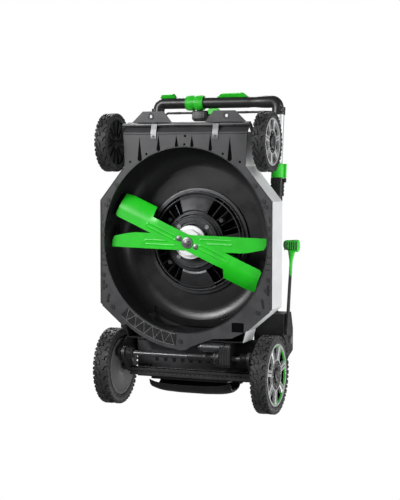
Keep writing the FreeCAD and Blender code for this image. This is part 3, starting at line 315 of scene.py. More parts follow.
def make_paints():
    """Every finish of the mower, keyed by a short name."""
    recipes = {
        # name: colour, darker colour, roughness range, metallic, grain scale and strength, scratch colour
        "liner": ((0.052, 0.052, 0.055), (0.038, 0.038, 0.041), (0.34, 0.48), 0, 1300, 0.30,
                  (0.11, 0.11, 0.11)),
        # painted shade: near-black, barely reflecting paint for sheets put where only shade shows
        "hollow_shade": ((0.003, 0.003, 0.003), (0.002, 0.002, 0.002), (0.80, 0.95), 0, 1000, 0.10, None),
        "line": ((0.16, 0.16, 0.165), (0.12, 0.12, 0.125), (0.36, 0.50), 0, 1300, 0.20, None),
        "black": ((0.014, 0.014, 0.015), (0.008, 0.008, 0.009), (0.30, 0.46), 0, 1600, 0.30, None),
        "cowl": ((0.030, 0.030, 0.032), (0.020, 0.020, 0.022), (0.36, 0.50), 0, 1100, 0.35,
                 (0.09, 0.09, 0.09)),
        "pale": ((0.72, 0.73, 0.74), (0.64, 0.65, 0.66), (0.28, 0.40), 0, 700, 0.08, None),
        "blade": ((0.012, 0.60, 0.012), (0.010, 0.50, 0.010), (0.34, 0.44), 0, 420, 0.08, None),
        "green": ((0.020, 0.62, 0.018), (0.014, 0.52, 0.012), (0.44, 0.54), 0, 1200, 0.14, None),
        "steel": ((0.30, 0.30, 0.305), (0.20, 0.20, 0.205), (0.34, 0.48), 0.8, 600, 0.12, None),
        "black_steel": ((0.035, 0.035, 0.037), (0.024, 0.024, 0.025), (0.36, 0.48), 0.25, 900, 0.10, None),
        "rod": ((0.11, 0.11, 0.113), (0.07, 0.07, 0.073), (0.25, 0.40), 0.6, 800, 0.10, None),
        "alloy": ((0.075, 0.076, 0.080), (0.05, 0.05, 0.052), (0.30, 0.45), 0.6, 500, 0.20, None),
        "tube": ((0.58, 0.59, 0.60), (0.50, 0.50, 0.51), (0.42, 0.52), 0.55, 500, 0.06, None),
        "white": ((0.86, 0.87, 0.88), (0.80, 0.80, 0.81), (0.25, 0.35), 0, 800, 0.06, None),
        "tyre": ((0.026, 0.026, 0.027), (0.017, 0.017, 0.018), (0.55, 0.75), 0, 800, 0.35,
                 (0.08, 0.08, 0.08)),
        # partly painted light: the pale outer rim paint stands in part for side light, the near-black inner
        # paint below in part for shade
        "rim": ((0.50, 0.505, 0.51), (0.42, 0.42, 0.43), (0.26, 0.38), 0.3, 900, 0.10, None),
        "rim_black_and_shade": ((0.008, 0.008, 0.009), (0.005, 0.005, 0.005), (0.35, 0.50), 0, 1200, 0.20, None),
        "clip": ((0.13, 0.13, 0.133), (0.09, 0.09, 0.093), (0.28, 0.42), 0.9, 700, 0.12, None),
        "disc": ((0.11, 0.11, 0.114), (0.085, 0.085, 0.088), (0.40, 0.55), 0, 1100, 0.22,
                 (0.16, 0.16, 0.16)),
        "grip_gloss": ((0.014, 0.014, 0.015), (0.009, 0.009, 0.010), (0.34, 0.44), 0, 900, 0.10, None),
        "grip": ((0.028, 0.028, 0.030), (0.018, 0.018, 0.019), (0.42, 0.60), 0, 1000, 0.30, None),
    }
    paints = {}
    for name, (colour, darker, rough, metallic, scale, strength, scratch) in recipes.items():
        relief = GLOSS_RELIEF if name in GLOSSY else MATT_RELIEF
        paint = Paint(name, colour, darker, rough, metallic).grain(scale, strength, relief)
        if scratch:
            paint.scuffs(scratch)
        if name == "hollow_shade":
            paint.set(Specular_IOR_Level=0.05)
        if name in ("pale", "blade", "green"):
            paint.set(Coat_Weight=0.12, Coat_Roughness=0.25)
        if name == "liner":
            paint.paint_chamber_shade()
        if name == "pale":
            paint.paint_cover_shade()
        paints[name] = paint.material
    return paints


PAINTS = make_paints()

# which finish each carried-over CAD node wears
FINISHES = {
    "liner": ["deck_liner", "discharge_tunnel", "rear_door", "side_flap", "shaft_boots"],
    "cowl": ["top_cowl", "battery_lid", "battery_tray"],
    "black": ["bracket_left", "bracket_right", "front_axle_clips", "control_box", "dust_covers",
              "gearbox_case", "clamp_blocks", "handle_bar", "height_quadrant", "battery_pack",
              "drive_motor"],
    "pale": ["deck_cover"],
    "blade": ["upper_blade", "lower_blade"],
    "green": ["lever_grip", "cam_lever_left", "cam_lever_right", "speed_dial", "start_button",
              "paddle_left",
              "paddle_right"],
    "steel": ["motor_screws", "blade_bolt", "blade_washer", "pivot_bolts", "drive_pins"],
    "rod": ["front_axle", "drive_shaft", "door_hinge", "flap_hinge"],
    "black_steel": ["flange_screws", "rear_axle", "lower_tubes", "height_lever", "bail_bar"],
    "alloy": ["motor_plate", "motor_can", "motor_rotor"],
    "tube": ["upper_tubes"],
    "white": ["blade_carrier"],
}
for end in ("front", "rear"):
    for side in ("left", "right"):
        FINISHES["tyre"] = FINISHES.get("tyre", []) + [f"{end}_tyre_{side}"]
        FINISHES["rim"] = FINISHES.get("rim", []) + [f"{end}_rim_{side}"]
        FINISHES["black"] += [f"{end}_hub_cap_{side}"]


def paint_nodes():
    for paint, nodes in FINISHES.items():
        for node in nodes:
            mesh = bpy.data.objects[node].data
            mesh.materials.clear()
            mesh.materials.append(PAINTS[paint])


# ---------------------------------------------------------------- mesh helpers, in millimetres
def about(axis, centre, across, radius, angle):
    """Point at an angle around an axis: across is measured along it, and 0 degrees points up or to +X."""
    a = math.radians(angle)
    if axis == "X":
        return (centre[0] + across, centre[1] - radius * math.sin(a), centre[2] + radius * math.cos(a))
    return (centre[0] + radius * math.cos(a), centre[1] + radius * math.sin(a), centre[2] + across)


class Shape:
    """Mesh built from lathed, swept and extruded forms."""

    def __init__(self):
        self.bm = bmesh.new()
        self.paint = 0

    def point(self, place):
        return self.bm.verts.new([c * MM for c in place])

    def patch(self, corners):
        self.bm.faces.new(corners).material_index = self.paint

    def grid(self, rows, loop_rows=False, loop_columns=False, capped=False):
        """Skin over rows of points; rows and columns may close on themselves."""
        made = [[self.point(p) for p in row] for row in rows]
        count, width = len(made), len(made[0])
        for i in range(count if loop_rows else count - 1):
            for j in range(width if loop_columns else width - 1):
                k, n = (i + 1) % count, (j + 1) % width
                self.patch([made[i][j], made[i][n], made[k][n], made[k][j]])
        if capped:
            self.patch(list(reversed(made[0])))
            self.patch(made[-1])

    def loft(self, rows):
        """Closed solid skinned over closed loops of points."""
        self.grid(rows, loop_columns=True, capped=True)

    def lathe(self, axis, centre, profile, segments=96):
        """Closed (across, radius) profile turned about an axis."""
        rows = [[about(axis, centre, across, radius, 360 * i / segments) for across, radius in profile]
                for i in range(segments)]
        self.grid(rows, loop_rows=True, loop_columns=True)

    def post(self, x, y, profile, segments):
        """Upright turned form; the profile is (height, radius) points."""
        self.lathe("Z", (x, y, 0), profile, segments)

    def prism(self, outline, low, high, axis="Z", steps=1):
        """Outline of 2-D points extruded along an axis."""
        rows = []
        for i in range(steps + 1):
            level = low + (high - low) * i / steps
            if axis == "Z":
                rows.append([(a, b, level) for a, b in outline])
            elif axis == "X":
                rows.append([(level, a, b) for a, b in outline])
            else:
                rows.append([(a, level, b) for a, b in outline])
        self.loft(rows)

    def tube(self, path, radius, sides=20, capped=True):
        """Round bar along a path of points; radius may be one number or one per point."""
        points = [Vector(p) for p in path]
        radii = radius if isinstance(radius, (list, tuple)) else [radius] * len(points)
        rows = []
        side = None
        for i, place in enumerate(points):
            ahead = (points[min(i + 1, len(points) - 1)] - points[max(i - 1, 0)]).normalized()
            if side is None:
                side = ahead.orthogonal().normalized()
            side = (side - ahead * side.dot(ahead)).normalized()
            other = ahead.cross(side)
            rows.append([place + (side * math.cos(t) + other * math.sin(t)) * radii[i]
                         for t in [2 * math.pi * k / sides for k in range(sides)]])
        self.grid(rows, loop_columns=True, capped=capped)

    def wrapped(self, axis, centre, outline, low, high, taper=0.86):
        """Block on a round face: outline of (degrees, across) points, raised between two radii."""
        mid_a = sum(a for a, _ in outline) / len(outline)
        mid_b = sum(b for _, b in outline) / len(outline)
        rows = []
        for radius, scale in ((low, 1.0), (high - 0.8, 0.5 + taper / 2), (high, taper)):
            rows.append([about(axis, centre, mid_b + (b - mid_b) * scale, radius,
                               mid_a + (a - mid_a) * scale)
                         for a, b in outline])
        self.loft(rows)

    def piece(self, name, body, paints, stands_for=(), bevel=0.0, angle=35):
        """Finishes the mesh and hands it to the frame."""
        bmesh.ops.remove_doubles(self.bm, verts=self.bm.verts, dist=0.00001)
        bmesh.ops.recalc_face_normals(self.bm, faces=self.bm.faces)
        mesh = bpy.data.meshes.new(name)
        self.bm.to_mesh(mesh)
        self.bm.free()
        for paint in paints:
            mesh.materials.append(PAINTS[paint])
        made = bpy.data.objects.new(name, mesh)
        bpy.context.collection.objects.link(made)
        if bevel:
            edge = made.modifiers.new("bevel", "BEVEL")
            edge.width = bevel * MM
            edge.segments = 2
            edge.limit_method = "ANGLE"
            edge.angle_limit = math.radians(angle)
        for face in mesh.polygons:
            face.use_smooth = True
        mesh.set_sharp_from_angle(angle=math.radians(angle))
        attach(made, body)
        if stands_for:
            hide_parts(*stands_for)
        return made


def arc(centre, radius, start, end, count):
    """2-D points along a circle, in degrees."""
    step = (end - start) / count
    return [(centre[0] + radius * math.cos(math.radians(start + step * i)),
             centre[1] + radius * math.sin(math.radians(start + step * i))) for i in range(count + 1)]


def rounded_box(a0, a1, b0, b1, corner, count=5):
    """2-D rectangle with round corners."""
    middles = ((a1 - corner, b1 - corner), (a0 + corner, b1 - corner),
               (a0 + corner, b0 + corner), (a1 - corner, b0 + corner))
    points = []
    for quarter, middle in enumerate(middles):
        points += arc(middle, corner, 90 * quarter, 90 * quarter + 90, count)
    return points


def ease(value, low, high):
    """Smooth step from 0 at low to 1 at high."""
    t = min(max((value - low) / (high - low), 0.0), 1.0)
    return t * t * (3 - 2 * t)


def mm(place):
    return Vector(place) / MM


# ---------------------------------------------------------------- blades
BLADE_HALF = 262.5
BLADE_T = 3.5
BLADE_Z = mm(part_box("lower_blade")[0]).z
HUB_MM = HUB_Y / MM
EMBOSS = (95.0, 5.0, 55.0, 6.5)      # pill's middle along and across the blade, its half length and radius


def pill_relief(x, y):
    """Depth of the pressed outline of the two pills."""
    along, across, half, radius = EMBOSS
    depth = 0.0
    for side in (-1, 1):
        dx = max(abs(x - side * along) - (half - radius), 0.0)
        dy = y + side * across
        edge = abs(math.hypot(dx, dy) - radius)
        depth = max(depth, 1.3 * (1 - ease(edge, 0.5, 2.2)))
    return depth


def blade_rows(winged):
    """Rows of points across the blade; the half at -X has its cutting edge at +Y."""
    marks = [0, 20, 33, 150, BLADE_HALF]
    xs = sorted({s * v for v in marks for s in (-1, 1)} | {x * 2.1 for x in range(-125, 126)})
    rows = []
    for x in xs:
        side = -1 if x < 0 else 1
        reach = abs(x)
        cutting, trailing = 25.0, 25.0
        if winged:
            trailing += 30 * ease(reach, 141, 150) - 4 * ease(reach, 236, BLADE_HALF)
            cutting -= 6 * ease(reach, 250, BLADE_HALF) ** 3
        else:
            trailing -= 20 * ease(reach, 170, 300) + 20 * ease(reach, 250, 266) ** 2
        row = []
        steps = 26
        for j in range(steps + 1):
            across = -trailing + (cutting + trailing) * j / steps
            lift = 0.0
            if winged:
                lift = 26 * max((-across - 2) / 52, 0.0) ** 1.7 * ease(reach, 112, 156)
            row.append((x, -side * across, lift - pill_relief(x, -side * across)))
        if side > 0:
            row.reverse()
        rows.append(row)
    return rows


def blade(name, node, angle, low, winged):
    turn = Matrix.Rotation(math.radians(angle), 3, "Z")
    shape = Shape()
    skins = []
    for offset in (0.0, BLADE_T):
        skin = []
        for row in blade_rows(winged):
            places = [turn @ Vector((x, y, 0)) + Vector((0, HUB_MM, low + z + offset)) for x, y, z in row]
            skin.append(places)
        skins.append(skin)
    for i in range(len(skins[0])):
        skins[0][i] = skins[0][i] + list(reversed(skins[1][i]))
    shape.loft(skins[0])
    return shape.piece(name, "rotor", ["blade"], [node], angle=40)


def blades():
    blade("mulching_blade", "upper_blade", 1.6, BLADE_Z + BLADE_T, False)
    blade("lifting_blade", "lower_blade", 24.0, BLADE_Z, True)


# ---------------------------------------------------------------- wheels
def wheel_place(end, side):
    """Wheel's middle, outer radius, half width and the sign of its outer side, in millimetres."""
    low, high = (mm(c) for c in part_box(f"{end}_tyre_{side}"))
    return (low + high) / 2, (high.z - low.z) / 2, (high.x - low.x) / 2, 1 if side == "left" else -1


def tyre(end, side):
    centre, radius, half, out = wheel_place(end, side)
    count = 18 if end == "front" else 24
    shape = Shape()
    base = radius - 4.2
    seat = 0.8 * radius
    half -= 0.6
    wall = [(half - 1.5, seat), (half, seat + 3), (half + 0.3, seat + 0.45 * (base - seat)),
            (half - 1.6, base - 4),
            (half - 5, base - 0.8)]
    crown = [(half * 0.4, base)]
    right = wall + crown
    profile = right + [(-a, r) for a, r in reversed(right)]
    shape.lathe("X", centre, profile, 144)
    pitch = 360 / count
    for k in range(count):
        a = pitch * k
        hook = [(0.10, 1), (0.42, 1), (0.60, 0.52), (0.90, 0.44), (0.90, 0.10), (0.48, 0.16), (0.30, 0.44),
                (0.10, 0.62)]
        for flip in (1, -1):
            shift = 0 if flip > 0 else 0.5
            block = [(a + pitch * (u + shift), flip * v * (half - 1.2)) for u, v in hook]
            shape.wrapped("X", centre, block, base - 3, radius, 0.9)
            lug = [(a + pitch * (u + shift), flip * v) for u, v in
                   ((0.50, half - 1.4), (0.98, half - 1.4), (0.98, half * 0.62), (0.72, half * 0.60))]
            shape.wrapped("X", centre, lug, base - 3, radius, 0.9)
            for start, end_at, top in ((0.12, 0.42, 1.6), (0.52, 0.96, 4.6)):
                rows = []
                for lift, squeeze in ((-0.4, 0.0), (1.0, 0.08)):
                    rows.append([about("X", centre, flip * (half - 0.6 + lift), r, a + pitch * (u + shift))
                                 for u, r in ((start + squeeze, radius - 1.2),
                                              (end_at - squeeze, radius - 1.2),
                                              (end_at - squeeze, base - top),
                                              (start + squeeze, base - top - 2))])
                shape.loft(rows)
    for r in (seat + 5, seat + 8):
        shape.lathe("X", centre, [(out * (half - 0.5), r - 0.5), (out * (half + 0.7), r),
                                  (out * (half - 0.5), r + 0.5)],
                    96)
    shape.piece(f"{end}_tread_{side}", f"{end}_wheel_{side}", ["tyre"],
                [f"{end}_tyre_{side}"], angle=30)


def rim(end, side):
    """Spoked rim: spokes and flange outside painted pale, partly a painted highlight of the side light;
    ribs inside painted near-black, partly painted shade.
    """
    centre, radius, half, out = wheel_place(end, side)
    seat = 0.8 * radius
    spokes = 7
    shape = Shape()
    face = half - 2.2

    def ring(inner, outer, depth, top, paint):
        shape.paint = paint
        shape.lathe("X", centre, [(out * (top - depth), inner), (out * top, inner + 0.8),
                                  (out * top, outer - 0.8),
                                  (out * (top - depth), outer)], 120)

    shape.paint = 1
    shape.lathe("X", centre, [(out * face, seat), (out * face, seat - 3), (-out * (half - 2), seat - 3),
                              (-out * (half - 2), seat)], 120)
    ring(seat - 7, seat - 0.3, 8, face + 0.9, 0)
    if end == "rear":
        ring(seat - 9.6, seat - 7.2, 5, face - 0.2, 2)
    ring(24, 0.47 * seat, 6, face - 1.5, 1)
    ring(0.47 * seat - 1, 0.47 * seat + 3.5, 7, face - 0.3, 0)
    ring(8.1, 22, 2 * half - 10, face - 2.5, 1)
    for k in range(spokes):
        a = 360 / spokes * (k + 0.25)
        shape.paint = 0
        w0, w1 = 13.0, 7.2
        r0, r1 = 0.47 * seat + 1, seat - 5
        outline = [(a - w0, r0), (a - w0 * 0.62, (r0 + r1) / 2), (a - w1 * 1.25, r1), (a + w1 * 1.25, r1),
                   (a + w0 * 0.62, (r0 + r1) / 2), (a + w0, r0)]
        rows = [[about("X", centre, out * (face - d), r, b + (a - b) * s) for b, r in outline]
                for d, s in ((11, 0.0), (2.6, 0.0), (0.9, 0.22))]
        shape.loft(rows)
        shape.paint = 1
        slit = ((a - 2.2, r0 + 5), (a - 1.4, r1 - 6), (a + 1.4, r1 - 6), (a + 2.2, r0 + 5))
        shape.loft([[about("X", centre, out * (face - d), r, b) for b, r in slit] for d in (1.6, 0.6)])
    shape.paint = 1
    inner_face = -out * (half - 7)
    shape.lathe("X", centre, [(inner_face, 20), (inner_face + out * 2.5, 20),
                              (inner_face + out * 2.5, seat - 2),
                              (inner_face, seat - 2)], 96)
    for k in range(12):
        a = 30 * k + 15
        rows = []
        for r in (20, 0.5 * seat, seat - 2.5):
            thin = math.degrees(1.1 / r)
            rows.append([about("X", centre, inner_face, r, a - thin),
                         about("X", centre, inner_face - out * 4.6, r, a - thin),
                         about("X", centre, inner_face - out * 4.6, r, a + thin),
                         about("X", centre, inner_face, r, a + thin)])
        shape.loft(rows)
    bolts = 8
    for k in range(bolts):
        a = 360 / bolts * k
        shape.paint = 0
        spot = about("X", centre, 0, 0.37 * seat, a)
        shape.lathe("X", (centre.x, spot[1], spot[2]), [(out * (face - 3), 0.3), (out * (face - 0.8), 0.3),
                                                        (out * (face - 0.8), 1.9), (out * (face - 3), 2.2)],
                                                        12)
    shape.piece(f"{end}_wheel_rim_{side}", f"{end}_wheel_{side}", ["rim", "rim_black_and_shade", "green"],
                [f"{end}_rim_{side}"], bevel=0.35)


def hub_cover(end, side):
    """Plain stepped cap."""
    centre, _, _, out = wheel_place(end, side)
    low, high = (mm(c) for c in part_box(f"{end}_hub_cap_{side}"))
    base, tip = (low.x, high.x) if out > 0 else (high.x, low.x)
    shape = Shape()
    profile = [(base - centre.x, 0.2), (base - centre.x, 20.5), (base - centre.x + out * 1.6, 21)]
    for t in range(7):
        a = math.radians(15 * t)
        profile.append((tip - centre.x - out * 2.4 * (1 - math.sin(a)), 13 + 6.5 * math.cos(a)))
    profile.append((tip - centre.x - out * 0.6, 10))
    profile.append((tip - centre.x - out * 0.6, 0.2))
    shape.lathe("X", centre, profile, 64)
    shape.piece(f"{end}_wheel_cap_{side}", f"{end}_wheel_{side}", ["alloy"],
                [f"{end}_hub_cap_{side}"])


def wheels():
    for end in ("front", "rear"):
        for side in ("left", "right"):
            tyre(end, side)
            rim(end, side)
            hub_cover(end, side)


# ---------------------------------------------------------------- deck, motor bracket and carrier
CHAMBER = (0.0, -31.8, 275.6, 292.0)     # middle and half axes of the blade chamber
BRACKET_WINDOWS = (38, 142, 218, 322)
CHAMBER_BAND = 43.0


def chamber_edge(grow, angle):
    x, y, a, b = CHAMBER
    t = math.radians(angle)
    return x + (a + grow) * math.cos(t), y + (b + grow) * math.sin(t)


def chamber_bead():
    """Rolled edge around the chamber's mouth, with the shallow step behind it."""
    flange = FLANGE_Z / MM
    shape = Shape()
    rows = []
    for k in range(180):
        row = []
        for grow, z in ((0.2, 3.0), (0.2, -1.2), (1.0, -2.2), (2.6, -2.2), (3.4, -1.2), (3.6, 0.2)):
            x, y = chamber_edge(grow, 2 * k)
            row.append((x, y, flange + z))
        rows.append(row)
    shape.grid(rows, loop_rows=True, loop_columns=True)
    shape.piece("chamber_bead", "deck", ["liner"])


def stadium(x, y, length, radius, lean=0.0):
    """Outline of a slot whose long side lies along Y, leaned by an angle."""
    half = length / 2 - radius
    loop = arc((0, half), radius, 0, 180, 6) + arc((0, -half), radius, 180, 360, 6)
    c, s = math.cos(math.radians(lean)), math.sin(math.radians(lean))
    return [(x + a * c - b * s, y + a * s + b * c) for a, b in loop]


def flange_details():
    """Pads, slots and ribs moulded on the underside of the flange; the black slot pads are painted shade
    standing for the slots' hollows.
    """
    flange = FLANGE_Z / MM
    shape = Shape()
    # painted shade: thin black pads where the flange has shaded slots
    for x, y, length, radius, lean in ((-279, 118, 34, 4, 0), (-262, 160, 30, 4, 12), (279, 118, 34, 4, 0),
                                       (262, 160, 30, 4, -12), (-284, -100, 22, 3, 0),
                                       (284, -100, 22, 3, 0)):
        shape.prism(stadium(x, y, length, radius, lean), flange - 0.9, flange + 1)
    for y in (14, 34, 52):
        shape.prism(rounded_box(268, 286, y, y + 3, 1.2, 3), flange - 1.6, flange + 1)
        shape.prism(rounded_box(-286, -268, y, y + 3, 1.2, 3), flange - 1.6, flange + 1)
    shape.piece("flange_slot_shade", "deck", ["black"], bevel=0.3)
    ribs = Shape()
    for side in (-1, 1):
        for x0, y0, x1, y1 in ((206, -262, 286, -160), (287, -150, 287, 172), (284, 184, 212, 246)):
            ribs.tube([(side * x0, y0, flange - 0.2), (side * x1, y1, flange - 0.2)], 1.3, 8)
    ribs.tube([(-205, -367, flange - 0.2), (205, -367, flange - 0.2)], 1.4, 8)
    for x in (-128, 128):
        rim_points = [(x + 9 * math.cos(t), -424 + 9 * math.sin(t), 95.8) for t in
                      [math.radians(15 * k) for k in range(25)]]
        ribs.tube(rim_points, 1.2, 8)
    ribs.piece("flange_ribs", "deck", ["liner"])
    lattice = Shape()
    count = 11
    inner = [chamber_edge(7.5, 96 + 36 * i / count) for i in range(count + 1)]
    outer = [chamber_edge(CHAMBER_BAND, 96 + 36 * i / count) for i in range(count + 1)]
    for i in range(count):
        zigzag = (inner[i], outer[i + 1]) if i % 2 else (outer[i], inner[i + 1])
        lattice.tube([(*p, flange - 0.9) for p in zigzag], 0.8, 6)
    for edge in (inner, outer):
        lattice.tube([(*p, flange - 0.9) for p in edge], 0.8, 6)
    lattice.piece("flange_lattice", "deck", ["line"])
    panel = Shape()
    near = [chamber_edge(6.5, 95 + 2 * i) for i in range(20)]
    far = [chamber_edge(CHAMBER_BAND + 1, 95 + 2 * i) for i in range(20)]
    panel.prism(near + list(reversed(far)), flange - 0.5, flange + 1)
    panel.piece("flange_lattice_panel", "deck", ["black"])
    # painted shade: near-black sheets and plugs behind the flange's holes and slots
    hole_shade = Shape()
    inner_arc = [chamber_edge(5, 94 + 4 * k) for k in range(11)]
    outer_arc = [(CHAMBER[2] * 1.18 * math.cos(math.radians(94 + 3.8 * k)),
                  CHAMBER[1] + CHAMBER[3] * 1.18 * math.sin(math.radians(94 + 3.8 * k))) for k in range(11)]
    hole_shade.prism(inner_arc + list(reversed(outer_arc)), flange + 4.2, flange + 6)
    hole_shade.prism(rounded_box(158, 202, 220, 254, 3), flange + 4.2, flange + 6)
    for side in (-1, 1):
        hole_shade.prism([(side * 18, -368), (side * 165, -368), (side * 165, -300), (side * 130, -307),
                       (side * 18, -328)],
                      flange + 4.2, flange + 6)
    for x, y0, y1, r in ((152, -359, -281, 7.5), (87.5, -366, -313, 6.5), (26, -364, -325, 6)):
        for side in (-1, 1):
            drop = [(side * x + a, b) for a, b in arc((0, y1 - r), r - 0.1, 0, 180, 12)]
            hole_shade.prism(drop + [(side * x, y0 + 0.5)], flange + 0.7, flange + 4)
    for x, y in ((3, -360), (0.6, -333.4), (-129, -304), (129, -304), (-185, -279), (185, -279)):
        hole_shade.prism(arc((x, y), 3.9, 0, 345, 23), flange + 0.7, flange + 4)
    hole_shade.piece("flange_hole_shade", "deck", ["hollow_shade"])


def fin(shape, angle, thickness, section):
    """Upright radial blade at the hub; the section is (radius, height) points."""
    a = math.radians(angle)
    c, s = math.cos(a), math.sin(a)
    shape.loft([[(r * c - side * s, HUB_MM + r * s + side * c, z) for r, z in section]
                for side in (-thickness / 2, thickness / 2)])


def cone_height(radius):
    """Underside of the motor bracket at a radius from the hub."""
    return 151 + (radius - 76) * (190 - 151) / (160 - 76)


def motor_bracket():
    """Cone with four windows, raised arm pads, an outer hoop and cooling vanes."""
    shape = Shape()
    hub = (0, HUB_MM, 0)
    radii = [76, 80, 86, 92, 97, 104, 112, 120, 128, 136, 144, 150, 156, 162, 172]
    step = 3

    def height(r, a):
        arm = max((ease(28 - min(abs(a - m), 360 - abs(a - m)), 0, 3) for m in (90, 270)))
        pad = arm * ease(r, 100, 104) * (1 - ease(r, 148, 154))
        return cone_height(min(r, 160)) + (2 if r > 160 else 0) - 5 * pad

    points = {}
    for i, r in enumerate(radii):
        for a in range(0, 360, step):
            points[i, a] = shape.point(about("Z", hub, height(r, a), r, a))
    for i in range(len(radii) - 1):
        for a in range(0, 360, step):
            middle = a + step / 2
            inside = 97 <= radii[i] < 156
            if inside and any(abs(middle - m) < 27 for m in BRACKET_WINDOWS):
                continue
            b = (a + step) % 360
            shape.patch([points[i, a], points[i, b], points[i + 1, b], points[i + 1, a]])
    bracket = shape.piece("motor_bracket", "deck", ["alloy"], ["motor_plate"], angle=30)
    thick = bracket.modifiers.new("wall", "SOLIDIFY")
    thick.thickness = 3.5 * MM
    thick.offset = -1
    edge = bracket.modifiers.new("edge", "BEVEL")
    edge.width = 0.6 * MM
    edge.segments = 2
    edge.limit_method = "ANGLE"

    trim = Shape()
    for r0, r1, z0, z1 in ((146, 150, 176, 188), (157, 160.5, 180, 193), (88, 90.5, 148, 158)):
        trim.lathe("Z", hub, [(z0, r0 + 0.6), (z0, r1 - 0.6), (z0 + 0.8, r1), (z1, r1), (z1, r0),
                              (z0 + 0.8, r0)], 120)
    for middle in BRACKET_WINDOWS:
        for offset in (-18, -6, 6, 18):
            fin(trim, middle + offset, 1.8, [(98, 168), (98, 186), (156, 196), (156, 190)])
        spot = about("Z", hub, 0, 112, middle)
        trim.post(spot[0], spot[1], [(160, 0.4), (160, 6), (162, 7.5), (186, 7.5), (186, 0.4)], 24)
    for middle in (90, 270):
        for offset, r in ((-12, 126), (0, 126), (12, 126), (-6, 140), (6, 140)):
            spot = about("Z", hub, 0, r, middle + offset)
            z = cone_height(r) - 5
            trim.post(spot[0], spot[1], [(z - 1.4, 0.3), (z - 1.4, 2.6), (z + 2, 3.2), (z + 2, 0.3)], 16)
    trim.piece("bracket_trim", "deck", ["alloy"], bevel=0.3)

    # painted shade: fan disc with vanes, painted near-black as the shade seen through the bracket windows
    shade = Shape()
    shade.lathe("Z", hub, [(197, 60), (197, 171), (199.5, 171), (199.5, 60)], 96)
    for k in range(36):
        fin(shade, 10 * k, 1.6, [(88, 188), (88, 197), (158, 197), (158, 194)])
    shade.piece("fan_disc_shade", "deck", ["hollow_shade"])


def motor_ring():
    """Stator housing with a stepped screw ring."""
    hub = (0, HUB_MM, 0)
    z = mm(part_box("motor_can")[0]).z
    top = mm(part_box("motor_can")[1]).z
    shape = Shape()
    shape.lathe("Z", hub, [(z + 6, 56.3), (z + 1.4, 56.3), (z + 0.6, 57), (z + 0.6, 61), (z + 2.2, 62),
                           (z + 2.2, 65.5),
                           (z, 66.5), (z, 76.5), (z + 1.6, 77.4), (z + 1.6, 79.6), (z, 80.6), (z, 83),
                           (z + 1, 84),
                           (z + 7.9, 84), (z + 8.4, 76), (top, 76), (top, 56.3)], 144)
    for k in range(1, 24, 3):
        spot = about("Z", hub, 0, 71.5, 15 * k + 7.5)
        shape.post(spot[0], spot[1], [(z - 0.8, 0.3), (z - 0.8, 1.6), (z + 1, 2.4), (z + 1, 0.3)], 14)
    shape.piece("motor_housing", "deck", ["alloy"], ["motor_can"], bevel=0.25)


def carrier():
    """Pale carrier disc with a turned boss and a ring of small bosses."""
    hub = (0, HUB_MM, 0)
    low, high = (mm(c).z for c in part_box("blade_carrier"))
    shape = Shape()
    shape.lathe("Z", hub, [(low, 6.2), (low, 40), (low + 1.5, 42), (high - 9, 42), (high - 8, 43.5),
                           (high - 8, 50.5),
                           (high - 7, 53), (high - 5.5, 54), (high, 54), (high, 6.2)], 128)
    for k in range(8):
        spot = about("Z", hub, 0, 47.5, 45 * k + 10)
        shape.post(spot[0], spot[1], [(high - 9.4, 0.3), (high - 9.4, 1.2), (high - 7, 1.9),
                                      (high - 7, 0.3)], 12)
    shape.piece("carrier_disc", "rotor", ["white"], ["blade_carrier"], bevel=0.25)


def fastener(shape, spot, low, high, radius, sides=6, facing=-1):
    """Bolt head with a round flange under it and a chamfered crown."""
    x, y = spot
    z0, z1 = (high, low) if facing < 0 else (low, high)
    step = (z1 - z0)
    shape.post(x, y, [(z0, 0.3), (z0, radius * 1.12), (z0 + step * 0.28, radius * 1.12),
                                 (z0 + step * 0.34, radius * 0.95), (z0 + step * 0.34, 0.3)], 28)
    outline = [(x + radius * 0.9 * math.cos(math.radians(60 * k + 12)),
                y + radius * 0.9 * math.sin(math.radians(60 * k + 12)))
               for k in range(sides)]
    inner = [(x + (a - x) * 0.84, y + (b - y) * 0.84) for a, b in outline]
    rows = [[(a, b, z0 + step * 0.3) for a, b in outline], [(a, b, z0 + step * 0.88) for a, b in outline],
            [(a, b, z1) for a, b in inner]]
    shape.loft(rows)


def rotor_fasteners():
    hub = (0.0, HUB_MM)
    washer_low, washer_high = (mm(c).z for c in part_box("blade_washer"))
    bolt = Shape()
    fastener(bolt, hub, mm(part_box("blade_bolt")[0]).z, washer_low, 10.4)
    bolt.post(*hub, [(washer_low - 1, 0.3), (washer_low - 1, 5.8), (washer_high + 24, 5.8),
                     (washer_high + 24, 0.3)],
               32)
    bolt.piece("blade_bolt_head", "rotor", ["steel"], ["blade_bolt"], bevel=0.25)
    washer = Shape()
    washer.post(*hub, [(washer_low, 6.2), (washer_low, 16.6), (washer_low + 1, 18.2), (washer_high, 18.2),
                                  (washer_high, 6.2)], 64)
    washer.piece("blade_washer_ring", "rotor", ["steel"], ["blade_washer"], bevel=0.2)
    pins = Shape()
    low, high = (mm(c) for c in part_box("drive_pins"))
    for side in (-1, 1):
        a = math.radians(24)
        spot = (side * 31 * math.cos(a), HUB_MM + side * 31 * math.sin(a))
        fastener(pins, spot, low.z, low.z + 5, 8.2)
        pins.post(*spot, [(low.z + 4.5, 0.3), (low.z + 4.5, 3.9), (high.z, 3.9), (high.z, 0.3)], 24)
    pins.piece("blade_drive_pins", "rotor", ["steel"], ["drive_pins"], bevel=0.25)


def deck():
    chamber_bead()
    flange_details()
    motor_bracket()
    motor_ring()
    carrier()
    rotor_fasteners()


# ---------------------------------------------------------------- axles, drive unit and rear
DOOR_HINGE = (438.0, 258.0)      # y and z of each of these
DRIVE_MOTOR = (306.0, 76.0)
REAR_PIVOT = (338.0, 81.0)
FRONT_PIVOT = (-396.0, 74.0)


